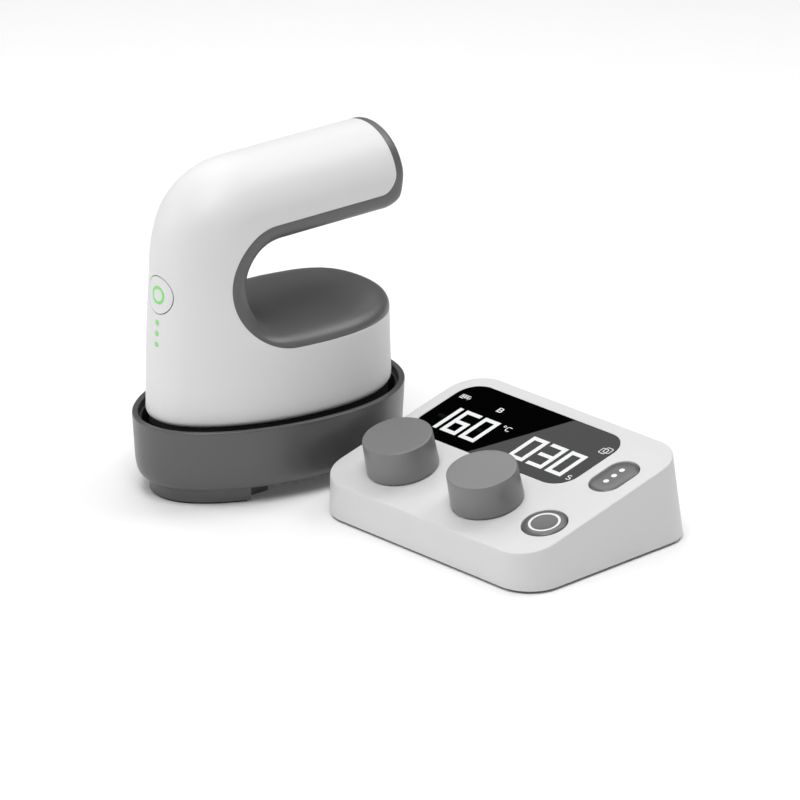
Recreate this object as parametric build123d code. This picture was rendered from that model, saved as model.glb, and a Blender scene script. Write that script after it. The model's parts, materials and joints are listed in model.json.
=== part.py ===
from build123d import *
import os
import math

# A small hand-held heat press standing in its insulated rest tray, with a
# wireless desk controller beside it.  Millimetres, +Z up.  X runs along the
# press from its spine to the free end of the handle, Y to the left of it.
# Everything is first drawn about the middle of the tray and then moved so that
# the origin is at the centre of the whole set's footprint, on the floor.

# ---------------------------------------------------------------- dimensions
# rest tray: an oval, a little wider towards the free end of the handle
RIM_A, RIM_B, RIM_N, RIM_K = 76.05, 50.93, 2.134, 0.165
RIM_Z = 41.0            # top of the rim above the floor
TRAY_FOOT_Z = 7.7       # underside of the tray's bowl
TRAY_WALL = 3.2
TRAY_FLOOR = 3.0
PAD_T = 1.0             # rubber foot pads
FOOT_INSET = 8.2
NOTCH_HALF = 36.0       # half length of the finger notch
MAT_T = 4.5             # heat-proof mat the platen stands on

# press
BODY_INSET = 6.9        # white shell inside the rim outline, at the rim
SHELL_BOT = 40.6
SHELL_T = 2.6
DECK_Z = 79.0           # edge between the white side and the grey deck
DECK_TOP = 87.0
CROWN_Z = 169.4
CORNER_R = 11.0         # lower corner of the handle's end, seen from the side
HANDLE_ZC = 144.0       # widest level of the handle
HANDLE_W = 25.6         # half width of the handle
HANDLE_BOT = 127.0
GRIP_LINE = 137.3       # edge between white shell and grey grip
WHITE_END = 65.3        # where the white shell ends
CAP_END = 70.0          # end of the handle
TH_C, TH_R = (-14.4, 108.15), 29.15    # throat edge seen from the side
TV_C, TV_R = (-3.0, 107.0), 20.0       # throat surface on the centre plane
PLATEN_INSET = 10.6
PLATEN_Z0, PLATEN_T = 15.5, 7.0
GAP = 0.3

# power button and progress lights on the spine
PB_Z, PB_R = 107.6, 10.4
PB_RING_R, PB_RING_W = 4.85, 1.15
PB_TRAVEL = 0.8
DOTS_Z = (93.1, 87.3, 81.7)
DOT_R = 1.2

# controller: u to the right, v up the sloping panel, h out of the panel
CT_W, CT_D = 150.0, 110.0
CT_HF, CT_HR = 19.5, 45.3
CT_Z0 = 1.4
CT_U0, CT_U1, CT_V0, CT_V1 = 1.0, 152.0, -1.1, 116.0   # footprint of the housing
CT_R = 19.0
CT_WALL = 2.5
CT_AT = (-20.33, -63.65)   # its front left corner
CT_TURN = 3.24
DISP_U, DISP_V, DISP_W, DISP_H, DISP_R = 62.6, 80.4, 109.9, 49.5, 12.5
KNOB_U, KNOB_V = (34.0, 93.5), 29.0
KNOB_RT, KNOB_RB, KNOB_H = 17.7, 18.2, 18.0
SHAFT_R = 3.0
START_U, START_V, START_R = 132.6, 29.1, 11.6
MODE_U, MODE_V, MODE_W, MODE_L = 132.8, 77.9, 17.4, 29.2
BTN_GAP = 0.4

# shift of the whole set onto the centre of its footprint
SHIFT = Vector(-13.5, 81.3, 0)

os.makedirs("parts", exist_ok=True)
PARTS = {}


def group(shapes):
    """Several separate solids kept together as one node."""
    return Compound([b for a in shapes for b in a.solids()])


def put(name, shape, place=Location()):
    solids = [Pos(SHIFT.X, SHIFT.Y, 0) * place * b for b in shape.solids()]
    s = solids[0] if len(solids) == 1 else Compound(solids)
    s.label = name
    PARTS[name] = s
    export_step(s, "parts/" + name + ".step")


# ------------------------------------------------------------------ outlines
def rim_points(inset, count=56):
    """Points of the tray's oval, moved inwards by inset along its normals."""
    def p(t):
        c, s = math.cos(t), math.sin(t)
        x = RIM_A * math.copysign(abs(c) ** (2 / RIM_N), c)
        y = RIM_B * (1 + RIM_K * x / RIM_A) * math.copysign(abs(s) ** (2 / RIM_N), s)
        return x, y
    out = []
    for i in range(count):
        t = 2 * math.pi * i / count
        x, y = p(t)
        x1, y1 = p(t - 2e-3)
        x2, y2 = p(t + 2e-3)
        nx, ny = (y2 - y1), -(x2 - x1)
        n = math.hypot(nx, ny)
        out.append((x - inset * nx / n, y - inset * ny / n))
    return out


def oval(inset, z=0.0):
    pts = [Vector(x, y, z) for x, y in rim_points(inset)]
    return Face(Wire([Edge.make_spline(pts, periodic=True)]))


def half_oval(inset, z, left=True):
    """Half of the oval as one curve, from one side to the other."""
    pts = rim_points(inset, 56)
    idx = range(42, 13, -1) if left else range(42, 71)
    p = [Vector(pts[i % 56][0], pts[i % 56][1], z) for i in idx]
    k = RIM_K * RIM_B / RIM_A
    if left:
        return Edge.make_spline(p, tangents=[Vector(-1, k, 0), Vector(1, k, 0)])
    return Edge.make_spline(p, tangents=[Vector(1, -k, 0), Vector(-1, -k, 0)])


def oval2(inset, z):
    return Face(Wire([half_oval(inset, z), half_oval(inset, z, False)]))


def slab(inset, z0, z1):
    return extrude(oval(inset, z0), amount=z1 - z0, dir=(0, 0, 1))


def ring(out_in, in_in, z0, z1):
    return slab(out_in, z0, z1) - slab(in_in, z0 - 1, z1 + 1)


def stack(levels):
    """Ruled stack of ovals: (z, inset)."""
    return loft([oval(i, z) for z, i in levels], ruled=True)


def box(x0, x1, y0, y1, z0, z1):
    return Pos((x0 + x1) / 2, (y0 + y1) / 2, (z0 + z1) / 2) * Box(x1 - x0, y1 - y0, z1 - z0)


def side(sketch_wire, half=60.0):
    """Side view outline in XZ, pushed through the object along Y."""
    return extrude(Face(sketch_wire), amount=half, dir=(0, 1, 0), both=True)


def P2(x, z):
    return Vector(x, 0, z)


def cyl_z(x, y, z0, z1, r):
    return Pos(x, y, (z0 + z1) / 2) * Cylinder(r, z1 - z0)


def cyl_x(x0, x1, y, z, r):
    return Pos((x0 + x1) / 2, y, z) * Rot(0, 90, 0) * Cylinder(r, x1 - x0)


# ================================================================== rest tray
bowl = stack([(TRAY_FOOT_Z, 8.0), (8.6, 5.0), (10.6, 2.9), (13.8, 1.7), (18.0, 1.2), (RIM_Z - 0.7, 0.05), (RIM_Z, 0.7)])
cavity = stack([(TRAY_FOOT_Z + TRAY_FLOOR, 7.0), (14.0, 5.2), (20.0, 4.4), (RIM_Z + 1, TRAY_WALL)])
TRAY_SCREWS = [(-48, -16), (-48, 16), (48, -18), (48, 18)]
tray_shell = bowl - cavity
for x, y in TRAY_SCREWS:
    tray_shell -= cyl_z(x, y, 0, TRAY_FOOT_Z + 2.4, 1.25)
put("tray_shell", tray_shell)

liner = stack([(TRAY_FOOT_Z + TRAY_FLOOR + 0.02, 7.1), (14.0, 5.3), (20.0, 4.5), (37.5, 3.5)])
liner -= stack([(TRAY_FOOT_Z + TRAY_FLOOR - 1, 8.2), (14.0, 6.5), (20.0, 5.7), (38.5, 4.7)])
put("tray_liner", liner)

mat = slab(8.6, TRAY_FOOT_Z + TRAY_FLOOR, TRAY_FOOT_Z + TRAY_FLOOR + MAT_T)
for x in (-40, -20, 0, 20, 40):
    for y in (-18, 0, 18):
        mat -= cyl_z(x, y, 12.4, 20, 3.0)
put("rest_mat", mat)

foot = slab(FOOT_INSET, PAD_T, TRAY_FOOT_Z) - slab(FOOT_INSET + 9, 0, TRAY_FOOT_Z - 2.4)
for s in (-1, 1):
    n = box(-NOTCH_HALF, NOTCH_HALF, 29, 60, -1, TRAY_FOOT_Z + 1)
    foot -= n if s > 0 else mirror(n, about=Plane.XZ)
for x, y in TRAY_SCREWS:
    foot -= cyl_z(x, y, 0, 9, 1.7)
    foot -= cyl_z(x, y, 0, TRAY_FOOT_Z - 1.6, 3.2)
put("tray_foot", foot)

pad = ring(FOOT_INSET + 0.8, FOOT_INSET + 7.6, 0, PAD_T) - box(-NOTCH_HALF - 1.5, NOTCH_HALF + 1.5, -60, 60, -1, 3)
put("tray_foot_pads", pad)


def screw(x, y, z_head, z_tip, r=1.45, rh=2.9, hh=1.7, up=True):
    """Pan head screw; the head is at z_head and the tip at z_tip."""
    d = 1 if z_tip > z_head else -1
    head = cyl_z(x, y, min(z_head, z_head + d * hh), max(z_head, z_head + d * hh), rh)
    a, b = sorted((z_head + d * hh, z_tip))
    s = head + cyl_z(x, y, a, b, r)
    a, b = sorted((z_head - d, z_head + d * 0.9))
    return s - Pos(x, y, (a + b) / 2) * Box(3.2, 0.8, b - a) - Pos(x, y, (a + b) / 2) * Box(0.8, 3.2, b - a)


put("tray_screws", group([screw(x, y, TRAY_FOOT_Z - 3.3, TRAY_FOOT_Z + 2.2, r=1.25) for x, y in TRAY_SCREWS]))


# ====================================================================== press
def smooth_params(z):
    """Half width, nose length of the spine and handle at a level."""
    if z < HANDLE_ZC:
        t = (HANDLE_ZC - z) / 65.0
        return HANDLE_W + (43.23 - HANDLE_W) * t ** 1.5, 34.0 + (68.35 - 34.0) * t ** 1.2
    h = math.sqrt(max(0.0, 1 - ((z - HANDLE_ZC) / (CROWN_Z - HANDLE_ZC)) ** 2))
    return HANDLE_W * h, 34.0 * h


def nose_x(z):
    if z < 118.5:
        return -66.2 - 0.0544 * (118.5 - z)
    return -14.5 - 51.7 * math.sqrt(max(0.0, 1 - ((z - 118.5) / 50.9) ** 2))


def upper_section(z, inset=0.0, tail=80.0):
    if z == DECK_Z:
        nose = half_oval(BODY_INSET + 0.8 + inset, z)
        a, b = nose @ 0, nose @ 1
        return Face(Wire([nose, Edge.make_line(b, Vector(tail, b.Y, z)), Edge.make_line(Vector(tail, b.Y, z), Vector(tail, a.Y, z)), Edge.make_line(Vector(tail, a.Y, z), a)]))
    zz = z if z < HANDLE_ZC else HANDLE_ZC + (z - HANDLE_ZC) * (CROWN_Z - HANDLE_ZC) / (CROWN_Z - HANDLE_ZC - inset)
    zz = min(zz, CROWN_Z - 0.06)
    w, length = smooth_params(zz)
    x0 = nose_x(zz) + inset
    w = w - inset * (1 if z < HANDLE_ZC else w / HANDLE_W)
    n = 2.134
    pts = []
    for i in range(25):
        a = math.pi * i / 24 - math.pi / 2
        x = x0 + length * (1 - math.cos(a) ** (2 / n) if math.cos(a) > 1e-9 else 1.0)
        y = w * math.copysign(abs(math.sin(a)) ** (2 / n), math.sin(a))
        y *= 1 + RIM_K * min(0.0, x) / 68.35 * min(1.0, max(0.0, (HANDLE_ZC - zz) / 65.0))
        pts.append(Vector(x, y, z))
    nose = Edge.make_spline(pts, tangents=[Vector(-1, 0, 0), Vector(1, 0, 0)])
    a, b = pts[0], pts[-1]
    return Face(Wire([nose, Edge.make_line(b, Vector(tail, b.Y, z)), Edge.make_line(Vector(tail, b.Y, z), Vector(tail, a.Y, z)), Edge.make_line(Vector(tail, a.Y, z), a)]))


OUT_Z = [DECK_Z, 90, 102, 114, 126, 137, 144, 150, 155.5, 160, 163.6, 166.4, 168.2, 169.34]
upper = loft([upper_section(z) for z in OUT_Z])
IN_Z = [DECK_Z, 90, 102, 114, 126, 137, 144, 149, 154, 158.4, 161.6, 164.2, 165.8, 166.5]
upper_in = loft([upper_section(z, SHELL_T) for z in IN_Z])

base = loft([oval2(i, z) for z, i in ((SHELL_BOT, BODY_INSET + 1.6), (SHELL_BOT + 0.8, BODY_INSET + 0.5), (SHELL_BOT + 2.6, BODY_INSET), (DECK_Z, BODY_INSET + 0.8))], ruled=True)
base_in = loft([oval2(i, z) for z, i in ((SHELL_BOT - 1, BODY_INSET + SHELL_T), (DECK_Z, BODY_INSET + SHELL_T + 0.8))], ruled=True)

# side view of the grey region, between the white edge and the free end
ZT, ZL = TH_C[1] + TH_R, TH_C[1] - TH_R
arc_w = Edge.make_three_point_arc(P2(TH_C[0], ZT), P2(TH_C[0] - TH_R, TH_C[1]), P2(TH_C[0], ZL))
grey_wire = Wire([
    arc_w,
    Edge.make_line(P2(TH_C[0], ZL), P2(90, ZL)),
    Edge.make_line(P2(90, ZL), P2(90, 180)),
    Edge.make_line(P2(90, 180), P2(WHITE_END, 180)),
    Edge.make_line(P2(WHITE_END, 180), P2(WHITE_END, ZT + 8)),
    Edge.make_three_point_arc(P2(WHITE_END, ZT + 8), P2(WHITE_END - 8 + 8 * math.cos(math.pi / 4), ZT + 8 - 8 * math.sin(math.pi / 4)), P2(WHITE_END - 8, ZT)),
    Edge.make_line(P2(WHITE_END - 8, ZT), P2(TH_C[0], ZT)),
])
grey = side(grey_wire)

outer = upper + base
shell = outer - upper_in - base_in
shell = shell - grey
# holes for the power button and the progress lights
shell -= cyl_x(-75, -50, 0, PB_Z, PB_R + GAP)
for z in DOTS_Z:
    shell -= cyl_x(-75, -50, 0, z, DOT_R)
put("press_shell", shell)


# ----- grey grip: underside of the handle, throat and end cap, one moulding
def void_wire(off=0.0):
    r = TV_R + off
    cx, cz = TV_C
    return Wire([
        Edge.make_three_point_arc(P2(cx, cz + r), P2(cx - r, cz), P2(cx, cz - r)),
        Edge.make_line(P2(cx, cz - r), P2(95, cz - r)),
        Edge.make_line(P2(95, cz - r), P2(95, cz + r)),
        Edge.make_line(P2(95, cz + r), P2(cx, cz + r)),
    ])


cap_cut = box(CAP_END, 120, -90, 90, 50, 200)
low_cut = box(-14.4, 90, -90, 90, 60, TV_C[1])
grip = (upper & grey) - side(void_wire()) - cap_cut - low_cut
EDGE_R = 8.0


def on_void(e):
    """True for the edges between the grip's inner surface and its two sides."""
    for t in (0.02, 0.5, 0.98):
        p = e @ t
        flat = abs(p.Z - HANDLE_BOT) < 0.05 and p.X > TV_C[0] - 0.1
        arc = abs(math.hypot(p.X - TV_C[0], p.Z - TV_C[1]) - TV_R) < 0.05 and p.X < TV_C[0] + 0.1
        if not (flat or arc) or abs(p.Y) < 15:
            return False
    return e.length > 5


es = grip.edges().filter_by(on_void)
print("grip edges", [round(e.length, 1) for e in es])
grip = fillet(es, EDGE_R)
es = grip.edges().filter_by(lambda e: abs(e.center().X - CAP_END) < 0.05 and abs((e @ 0.5).X - CAP_END) < 0.05)
print("cap edges", len(es))
grip = fillet(es, 2.2)


def end_wire(off=0.0):
    """Side view of the handle with its lower end corner rounded."""
    x1, z0, r = CAP_END - off, HANDLE_BOT + off, CORNER_R - off
    k = r * (1 - math.cos(math.pi / 4))
    return Wire([
        Edge.make_line(P2(-80, z0), P2(x1 - r, z0)),
        Edge.make_three_point_arc(P2(x1 - r, z0), P2(x1 - k, z0 + k), P2(x1, z0 + r)),
        Edge.make_line(P2(x1, z0 + r), P2(x1, 185)),
        Edge.make_line(P2(x1, 185), P2(-80, 185)),
        Edge.make_line(P2(-80, 185), P2(-80, z0)),
    ])


corner_cut = box(40, 120, -60, 60, 120, 160) - side(end_wire())
hollow = (upper_in & side(Wire.make_polygon([P2(-80, 60), P2(CAP_END - SHELL_T, 60), P2(CAP_END - SHELL_T, 180), P2(-80, 180)], close=True))) - side(void_wire(SHELL_T))
hollow -= box(40, 120, -60, 60, 120, 160) - side(end_wire(SHELL_T))
grip = grip - corner_cut - hollow
print("grip", [round(s.volume) for s in grip.solids()])

# ----- grey deck over the base
deck = stack([(DECK_Z, BODY_INSET + 0.6), (81.0, BODY_INSET + 1.0), (83.4, BODY_INSET + 2.4), (85.4, BODY_INSET + 5.2), (86.5, BODY_INSET + 9.5), (DECK_TOP, BODY_INSET + 16)])
deck_in = stack([(DECK_Z - 1, BODY_INSET + 3.2), (81.0, BODY_INSET + 3.6), (83.0, BODY_INSET + 6.8), (84.3, BODY_INSET + 14)])
left = box(-90, -14.4, -90, 90, 60, 120)
put("deck_cover", deck - deck_in - left)

# ----- heater end
skirt = ring(BODY_INSET + 1.7, BODY_INSET + 3.7, 24.5, SHELL_BOT)
put("heater_skirt", skirt)

PILLARS = [(-40, -13), (-40, 13), (44, -13), (44, 13)]
platen = stack([(PLATEN_Z0, PLATEN_INSET + 1.2), (PLATEN_Z0 + 1.2, PLATEN_INSET), (PLATEN_Z0 + PLATEN_T, PLATEN_INSET)])
EL_Z, EL_R = PLATEN_Z0 + PLATEN_T, 3.2
el_path = Wire([
    Edge.make_line(Vector(46, -24, EL_Z), Vector(-30, -24, EL_Z)),
    Edge.make_three_point_arc(Vector(-30, -24, EL_Z), Vector(-54, 0, EL_Z), Vector(-30, 24, EL_Z)),
    Edge.make_line(Vector(-30, 24, EL_Z), Vector(46, 24, EL_Z)),
])
element = sweep(Plane(origin=(46, -24, EL_Z), z_dir=(-1, 0, 0)) * Circle(EL_R), path=el_path)
platen -= element
for x, y in PILLARS:
    platen -= cyl_z(x, y, EL_Z - 4.5, EL_Z + 1, 1.5)
put("heating_platen", platen)
put("heating_element", element)

board_z0 = EL_Z + EL_R + 0.1
board = slab(PLATEN_INSET + 2.4, board_z0, board_z0 + 5)
for x, y in PILLARS:
    board -= cyl_z(x, y, 10, 60, 3.3)
board -= box(-14, 14, -12, 12, 10, 60)
put("insulation_board", board)

put("platen_pillars", group([cyl_z(x, y, EL_Z, SHELL_BOT, 3.0) + cyl_z(x, y, EL_Z - 4.4, EL_Z, 1.5) - cyl_z(x, y, SHELL_BOT - 7, SHELL_BOT + 2, 1.25) for x, y in PILLARS]))

fuse = cyl_z(0, 0, EL_Z, EL_Z + 6.5, 8.0) + cyl_z(0, 0, EL_Z + 6.5, EL_Z + 9.5, 4.0) + box(-10.5, 10.5, -1.5, 1.5, EL_Z + 4, EL_Z + 4.6)
put("thermal_cutout", fuse)

CARRIER = (SHELL_BOT, SHELL_BOT + 2.6)
carrier = slab(BODY_INSET + 2.9, *CARRIER)
for x, y in PILLARS:
    carrier -= cyl_z(x, y, 30, 60, 1.7)
carrier -= box(-12, 12, -10, 10, 30, 60)
put("carrier_plate", carrier)
put("pillar_screws", group([screw(x, y, CARRIER[1] + 1.7, SHELL_BOT - 6, r=1.25) for x, y in PILLARS]))

# power board on the carrier, with its power switch element and capacitor
PB0 = CARRIER[1] + 5
pcb = box(2, 54, -24, 24, PB0, PB0 + 1.6)
posts = [(6, -21), (6, 21), (50, -18), (50, 18)]
for x, y in posts:
    pcb -= cyl_z(x, y, 30, 60, 1.6)
pcb += box(12, 30, -14, 2, PB0 + 1.6, PB0 + 14) + cyl_z(42, 6, PB0 + 1.6, PB0 + 19, 6) + box(8, 24, 8, 20, PB0 + 1.6, PB0 + 10) + box(40, 54, -14, -6, PB0 + 1.6, PB0 + 9)
put("power_board", pcb)
put("board_posts", group([cyl_z(x, y, CARRIER[1], PB0, 3.0) + cyl_z(x, y, PB0, PB0 + 1.6, 1.5) for x, y in posts]))

# steel strap frame from the carrier up the spine and along the handle
frame_out = [P2(-46, CARRIER[1]), P2(-46, 125), P2(-24, 150.5), P2(52, 150.5), P2(52, 148.0), P2(-22.9, 148.0), P2(-43.2, 124.0), P2(-43.2, CARRIER[1] + 3), P2(-24, CARRIER[1] + 3), P2(-24, CARRIER[1])]
frame = side(Wire.make_polygon(frame_out, close=True), 9.0)
put("handle_frame", frame)

# light and switch board behind the power button
bx = -57.0
btn_board = box(bx, bx + 1.6, -12, 12, 76, 122)
put("button_board", btn_board)
switch = box(bx - 3.4, bx, -3.1, 3.1, PB_Z - 3.1, PB_Z + 3.1) + cyl_x(bx - 4.3, bx - 3.4, 0, PB_Z, 1.7)
put("power_switch", switch)
board_clips = group([box(bx + 1.6, -46, -3, 3, 79, 83), box(bx + 1.6, -46, -3, 3, 114, 118)])
put("board_standoffs", board_clips)

# power button: a round cap flush with the spine, its light ring inlaid
cap_blank = upper & cyl_x(-75, -62.5, 0, PB_Z, PB_R)
ring_s = upper & (cyl_x(-75, -64.6, 0, PB_Z, PB_RING_R) - cyl_x(-76, -60, 0, PB_Z, PB_RING_R - PB_RING_W))
pbtn = cap_blank - ring_s
put("power_button", pbtn)
put("power_light_ring", ring_s)
pipes = []
for z in DOTS_Z:
    pipes.append((upper & cyl_x(-75, -59.0, 0, z, DOT_R)))
put("progress_lights", group(pipes))

# cord gland in the end face of the handle
GZ = 148.0
gland = cyl_x(CAP_END - 8, CAP_END, 0, GZ, 6.0) + cyl_x(CAP_END - SHELL_T - 2.0, CAP_END - SHELL_T, 0, GZ, 8.5)
gland -= cyl_x(CAP_END - 20, CAP_END + 5, 0, GZ, 3.6)
put("grip_trim", grip - cyl_x(CAP_END - 20, CAP_END + 5, 0, GZ, 6.0))
put("cord_gland", gland)

# ================================================================= controller
THETA = math.degrees(math.atan2(CT_HR - CT_HF, CT_D))
PANEL_L = math.hypot(CT_HR - CT_HF, CT_D)
CT = Pos(CT_AT[0], CT_AT[1], 0) * Rot(0, 0, CT_TURN)
SN, CS = math.sin(math.radians(THETA)), math.cos(math.radians(THETA))


def panel(u, v, h=0.0):
    """A plane on the sloping panel; h is along its outward normal."""
    o = Vector(v * CS - h * SN, -u, CT_HF + v * SN + h * CS)
    return Plane(origin=o, x_dir=(0, -1, 0), z_dir=(-SN, 0, CS))


def ct_put(name, shape):
    put(name, shape, CT)


def panel_cyl(u, v, h0, h1, r):
    return extrude(panel(u, v, h0) * Circle(r), amount=h1 - h0)


def panel_box(u0, u1, v0, v1, h0, h1, r=0.0):
    sk = Rectangle(u1 - u0, v1 - v0) if r <= 0 else RectangleRounded(u1 - u0, v1 - v0, r)
    return extrude(panel((u0 + u1) / 2, (v0 + v1) / 2, h0) * sk, amount=h1 - h0)


def floor_rect(u0, u1, v0, v1, z, r):
    return Plane(origin=((v0 + v1) / 2, -(u0 + u1) / 2, z), x_dir=(0, -1, 0), z_dir=(0, 0, 1)) * RectangleRounded(u1 - u0, v1 - v0, r)


def panel_rect(u0, u1, v0, v1, h, r):
    return panel((u0 + u1) / 2, (v0 + v1) / 2, h) * RectangleRounded(u1 - u0, v1 - v0, r)


bot = floor_rect(CT_U0, CT_U1, CT_V0, CT_V1, CT_Z0, CT_R)
top = panel_rect(0, CT_W, 0, PANEL_L, 0, CT_R)
wedge = loft([bot, top], ruled=True)
tops = wedge.faces().sort_by(Axis.Z)[-1]
wedge = fillet(tops.edges(), 1.6)
i = CT_WALL
bot_i = floor_rect(CT_U0 + i, CT_U1 - i, CT_V0 + i, CT_V1 - i, CT_Z0 - 0.5, CT_R - i)
top_i = panel_rect(i, CT_W - i, i, PANEL_L - i, -i, CT_R - i)
wedge_in = loft([bot_i, top_i], ruled=True)
house = wedge - wedge_in
d0 = 0.35
house -= panel_box(DISP_U - DISP_W / 2 - d0, DISP_U + DISP_W / 2 + d0, DISP_V - DISP_H / 2 - d0, DISP_V + DISP_H / 2 + d0, -1.5, 3, DISP_R + d0)
house -= panel_box(DISP_U - 50, DISP_U + 50, DISP_V - 20.5, DISP_V + 20.5, -6, 3, 3)
for u in KNOB_U:
    house -= panel_cyl(u, KNOB_V, -6, 3, 3.8)
house -= panel_cyl(START_U, START_V, -6, 3, START_R)
house -= panel_box(MODE_U - MODE_W / 2, MODE_U + MODE_W / 2, MODE_V - MODE_L / 2, MODE_V + MODE_L / 2, -6, 3, MODE_W / 2 - 0.01)
# charging port in the rear wall
PORT_U, PORT_Z = 75.0, 16.0
port_plane = Plane(origin=(CT_D - 4, -PORT_U, PORT_Z), x_dir=(0, -1, 0), z_dir=(1, 0, 0))
house -= extrude(port_plane * RectangleRounded(9.6, 3.9, 1.94), amount=12)
CT_SCREWS = [(8, 30), (8, 92), (142.5, 50), (142, 98)]
bosses = []
for u, v in CT_SCREWS:
    b = Pos(v, -u, 25) * Cylinder(3.4, 42) & wedge_in
    b = b & box(-10, 130, -170, 10, 5.2, 60)
    b -= Pos(v, -u, 5.2 + 4) * Cylinder(1.2, 8.2)
    bosses.append(b)
for b in bosses:
    house += b
ct_put("controller_housing", house)

# bottom cover with a lip inside the housing, rubber feet and screws
cover = extrude(floor_rect(CT_U0 + 1.2, CT_U1 - 1.2, CT_V0 + 1.2, CT_V1 - 1.2, 0.5, CT_R - 1.2), amount=CT_Z0 - 0.5)
cover += extrude(floor_rect(CT_U0 + i + 0.7, CT_U1 - i - 0.7, CT_V0 + i + 0.7, CT_V1 - i - 0.7, CT_Z0, CT_R - i - 0.7), amount=3.6 - CT_Z0)
for u, v in CT_SCREWS:
    cover += Pos(v, -u, 4.3) * Cylinder(3.4, 1.8)
    cover -= Pos(v, -u, 3) * Cylinder(1.6, 8)
    cover -= Pos(v, -u, 1.5) * Cylinder(3.1, 3.0)
CT_FEET = [(30, 10), (120, 10), (30, 101), (120, 101)]
ct_put("controller_base", cover)
ct_put("controller_feet", group([Pos(v, -u, 0.25) * Cylinder(5.0, 0.5) for u, v in CT_FEET]))
ct_put("controller_screws", group([screw(v, -u, 1.2, 12.2, r=1.2, rh=2.7) for u, v in CT_SCREWS]))

# display
ct_put("display_window", panel_box(DISP_U - DISP_W / 2, DISP_U + DISP_W / 2, DISP_V - DISP_H / 2, DISP_V + DISP_H / 2, -1.5, 0.0, DISP_R))
ct_put("lcd_module", panel_box(DISP_U - 49.5, DISP_U + 49.5, DISP_V - 20, DISP_V + 20, -5.6, -1.5, 3.0))

# main board behind the panel
BH = -12.0
board2 = panel_box(8, 142, 8, 106, BH - 1.6, BH, 10)
for u, v in CT_SCREWS:
    board2 -= Pos(v, -u, 25) * Cylinder(4.0, 60)
board2 += panel_box(30, 44, 70, 84, BH - 3.0, BH - 1.6) + panel_box(56, 64, 60, 68, BH - 2.8, BH - 1.6) + panel_box(84, 104, 74, 86, BH - 3.4, BH - 1.6)
ct_put("controller_board", board2)
lcd_frame = panel_box(DISP_U - 51, DISP_U + 51, DISP_V - 21, DISP_V + 21, BH, -5.6, 2.0) - panel_box(DISP_U - 48, DISP_U + 48, DISP_V - 18, DISP_V + 18, BH - 1, -5, 1.0)
ct_put("lcd_frame", lcd_frame)

# rotary encoders: body and threaded bush fixed, shaft turns with its knob
for name, u in (("temperature", KNOB_U[0]), ("time", KNOB_U[1])):
    enc = panel_box(u - 6.2, u + 6.2, KNOB_V - 6.2, KNOB_V + 6.2, BH, -CT_WALL - 1.4) + panel_cyl(u, KNOB_V, -CT_WALL - 1.4, 3.6, 3.5)
    enc -= panel_cyl(u, KNOB_V, BH + 2.0, 6, SHAFT_R + 0.05)
    ct_put(name + "_encoder", enc)
    nut = extrude(panel(u, KNOB_V, 0.0) * RegularPolygon(5.6, 6), amount=2.0) - panel_cyl(u, KNOB_V, -1, 5, 3.5)
    ct_put(name + "_encoder_nut", nut)
    shaft = panel_cyl(u, KNOB_V, BH + 2.6, 13.0, SHAFT_R) - panel_box(u - 4, u + 4, KNOB_V + 1.6, KNOB_V + 5, 5.0, 14)
    ct_put(name + "_shaft", shaft)
    prof = loft([panel(u, KNOB_V, 0.5) * Circle(KNOB_RB), panel(u, KNOB_V, KNOB_H) * Circle(KNOB_RT)])
    prof = chamfer(prof.edges().filter_by(GeomType.CIRCLE).sort_by(lambda e: panel(u, KNOB_V).to_local_coords(e.center()).Z)[-1], 0.5)
    cavity_k = panel_cyl(u, KNOB_V, 0, KNOB_H - 2.4, KNOB_RT - 2.0) - panel_cyl(u, KNOB_V, 4.6, KNOB_H, 6.0)
    knob = prof - cavity_k - shaft
    knob -= panel_cyl(u, KNOB_V, 0, 4.6, 6.4)
    for k in range(6):
        a = math.radians(60 * k + 30)
        rib = panel(u, KNOB_V, 4.6) * Rot(0, 0, 60 * k + 30) * Pos(10.5, 0) * Rectangle(12, 1.2)
        knob += (extrude(rib, amount=KNOB_H - 5.6) & panel_cyl(u, KNOB_V, 0, KNOB_H - 1, KNOB_RT - 1)) - panel_cyl(u, KNOB_V, 0, KNOB_H, 5.0)
    ct_put(name + "_knob", knob)

# start button: round cap with a light ring; mode button: pill with three dots
SW_TOP = BH + 3.4
TRAVEL = 0.8
sr = START_R - BTN_GAP
cap = panel_cyl(START_U, START_V, -4.0, 0.9, sr)
cap = fillet(cap.edges().filter_by(GeomType.CIRCLE).sort_by(lambda e: panel(START_U, START_V).to_local_coords(e.center()).Z)[-1], 0.7)
cap -= panel_cyl(START_U, START_V, -4.5, -1.4, sr - 1.6)
cap += panel_cyl(START_U, START_V, SW_TOP + TRAVEL + 0.35, -1.2, 2.2)
srg = panel_cyl(START_U, START_V, -0.6, 0.9, 8.1) - panel_cyl(START_U, START_V, -1.0, 2.0, 6.7)
cap -= srg
ct_put("start_button", cap)
ct_put("start_button_ring", srg)
mw, ml = MODE_W - 2 * BTN_GAP, MODE_L - 2 * BTN_GAP
mcap = panel_box(MODE_U - mw / 2, MODE_U + mw / 2, MODE_V - ml / 2, MODE_V + ml / 2, -4.0, 0.9, mw / 2 - 0.01)
mtop = mcap.faces().sort_by(lambda f: panel(MODE_U, MODE_V).to_local_coords(f.center()).Z)[-1]
mcap = fillet(mtop.edges(), 0.7)
mcap -= panel_box(MODE_U - mw / 2 + 1.6, MODE_U + mw / 2 - 1.6, MODE_V - ml / 2 + 1.6, MODE_V + ml / 2 - 1.6, -4.5, -1.4, mw / 2 - 1.62)
mcap += panel_cyl(MODE_U, MODE_V, SW_TOP + TRAVEL + 0.35, -1.2, 2.2)
mdots = [panel_cyl(MODE_U, MODE_V + k * 5.62, -0.4, 0.9, 1.5) for k in (-1, 0, 1)]
for d in mdots:
    mcap -= d
ct_put("mode_button", mcap)
ct_put("mode_button_dots", group(mdots))
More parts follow.
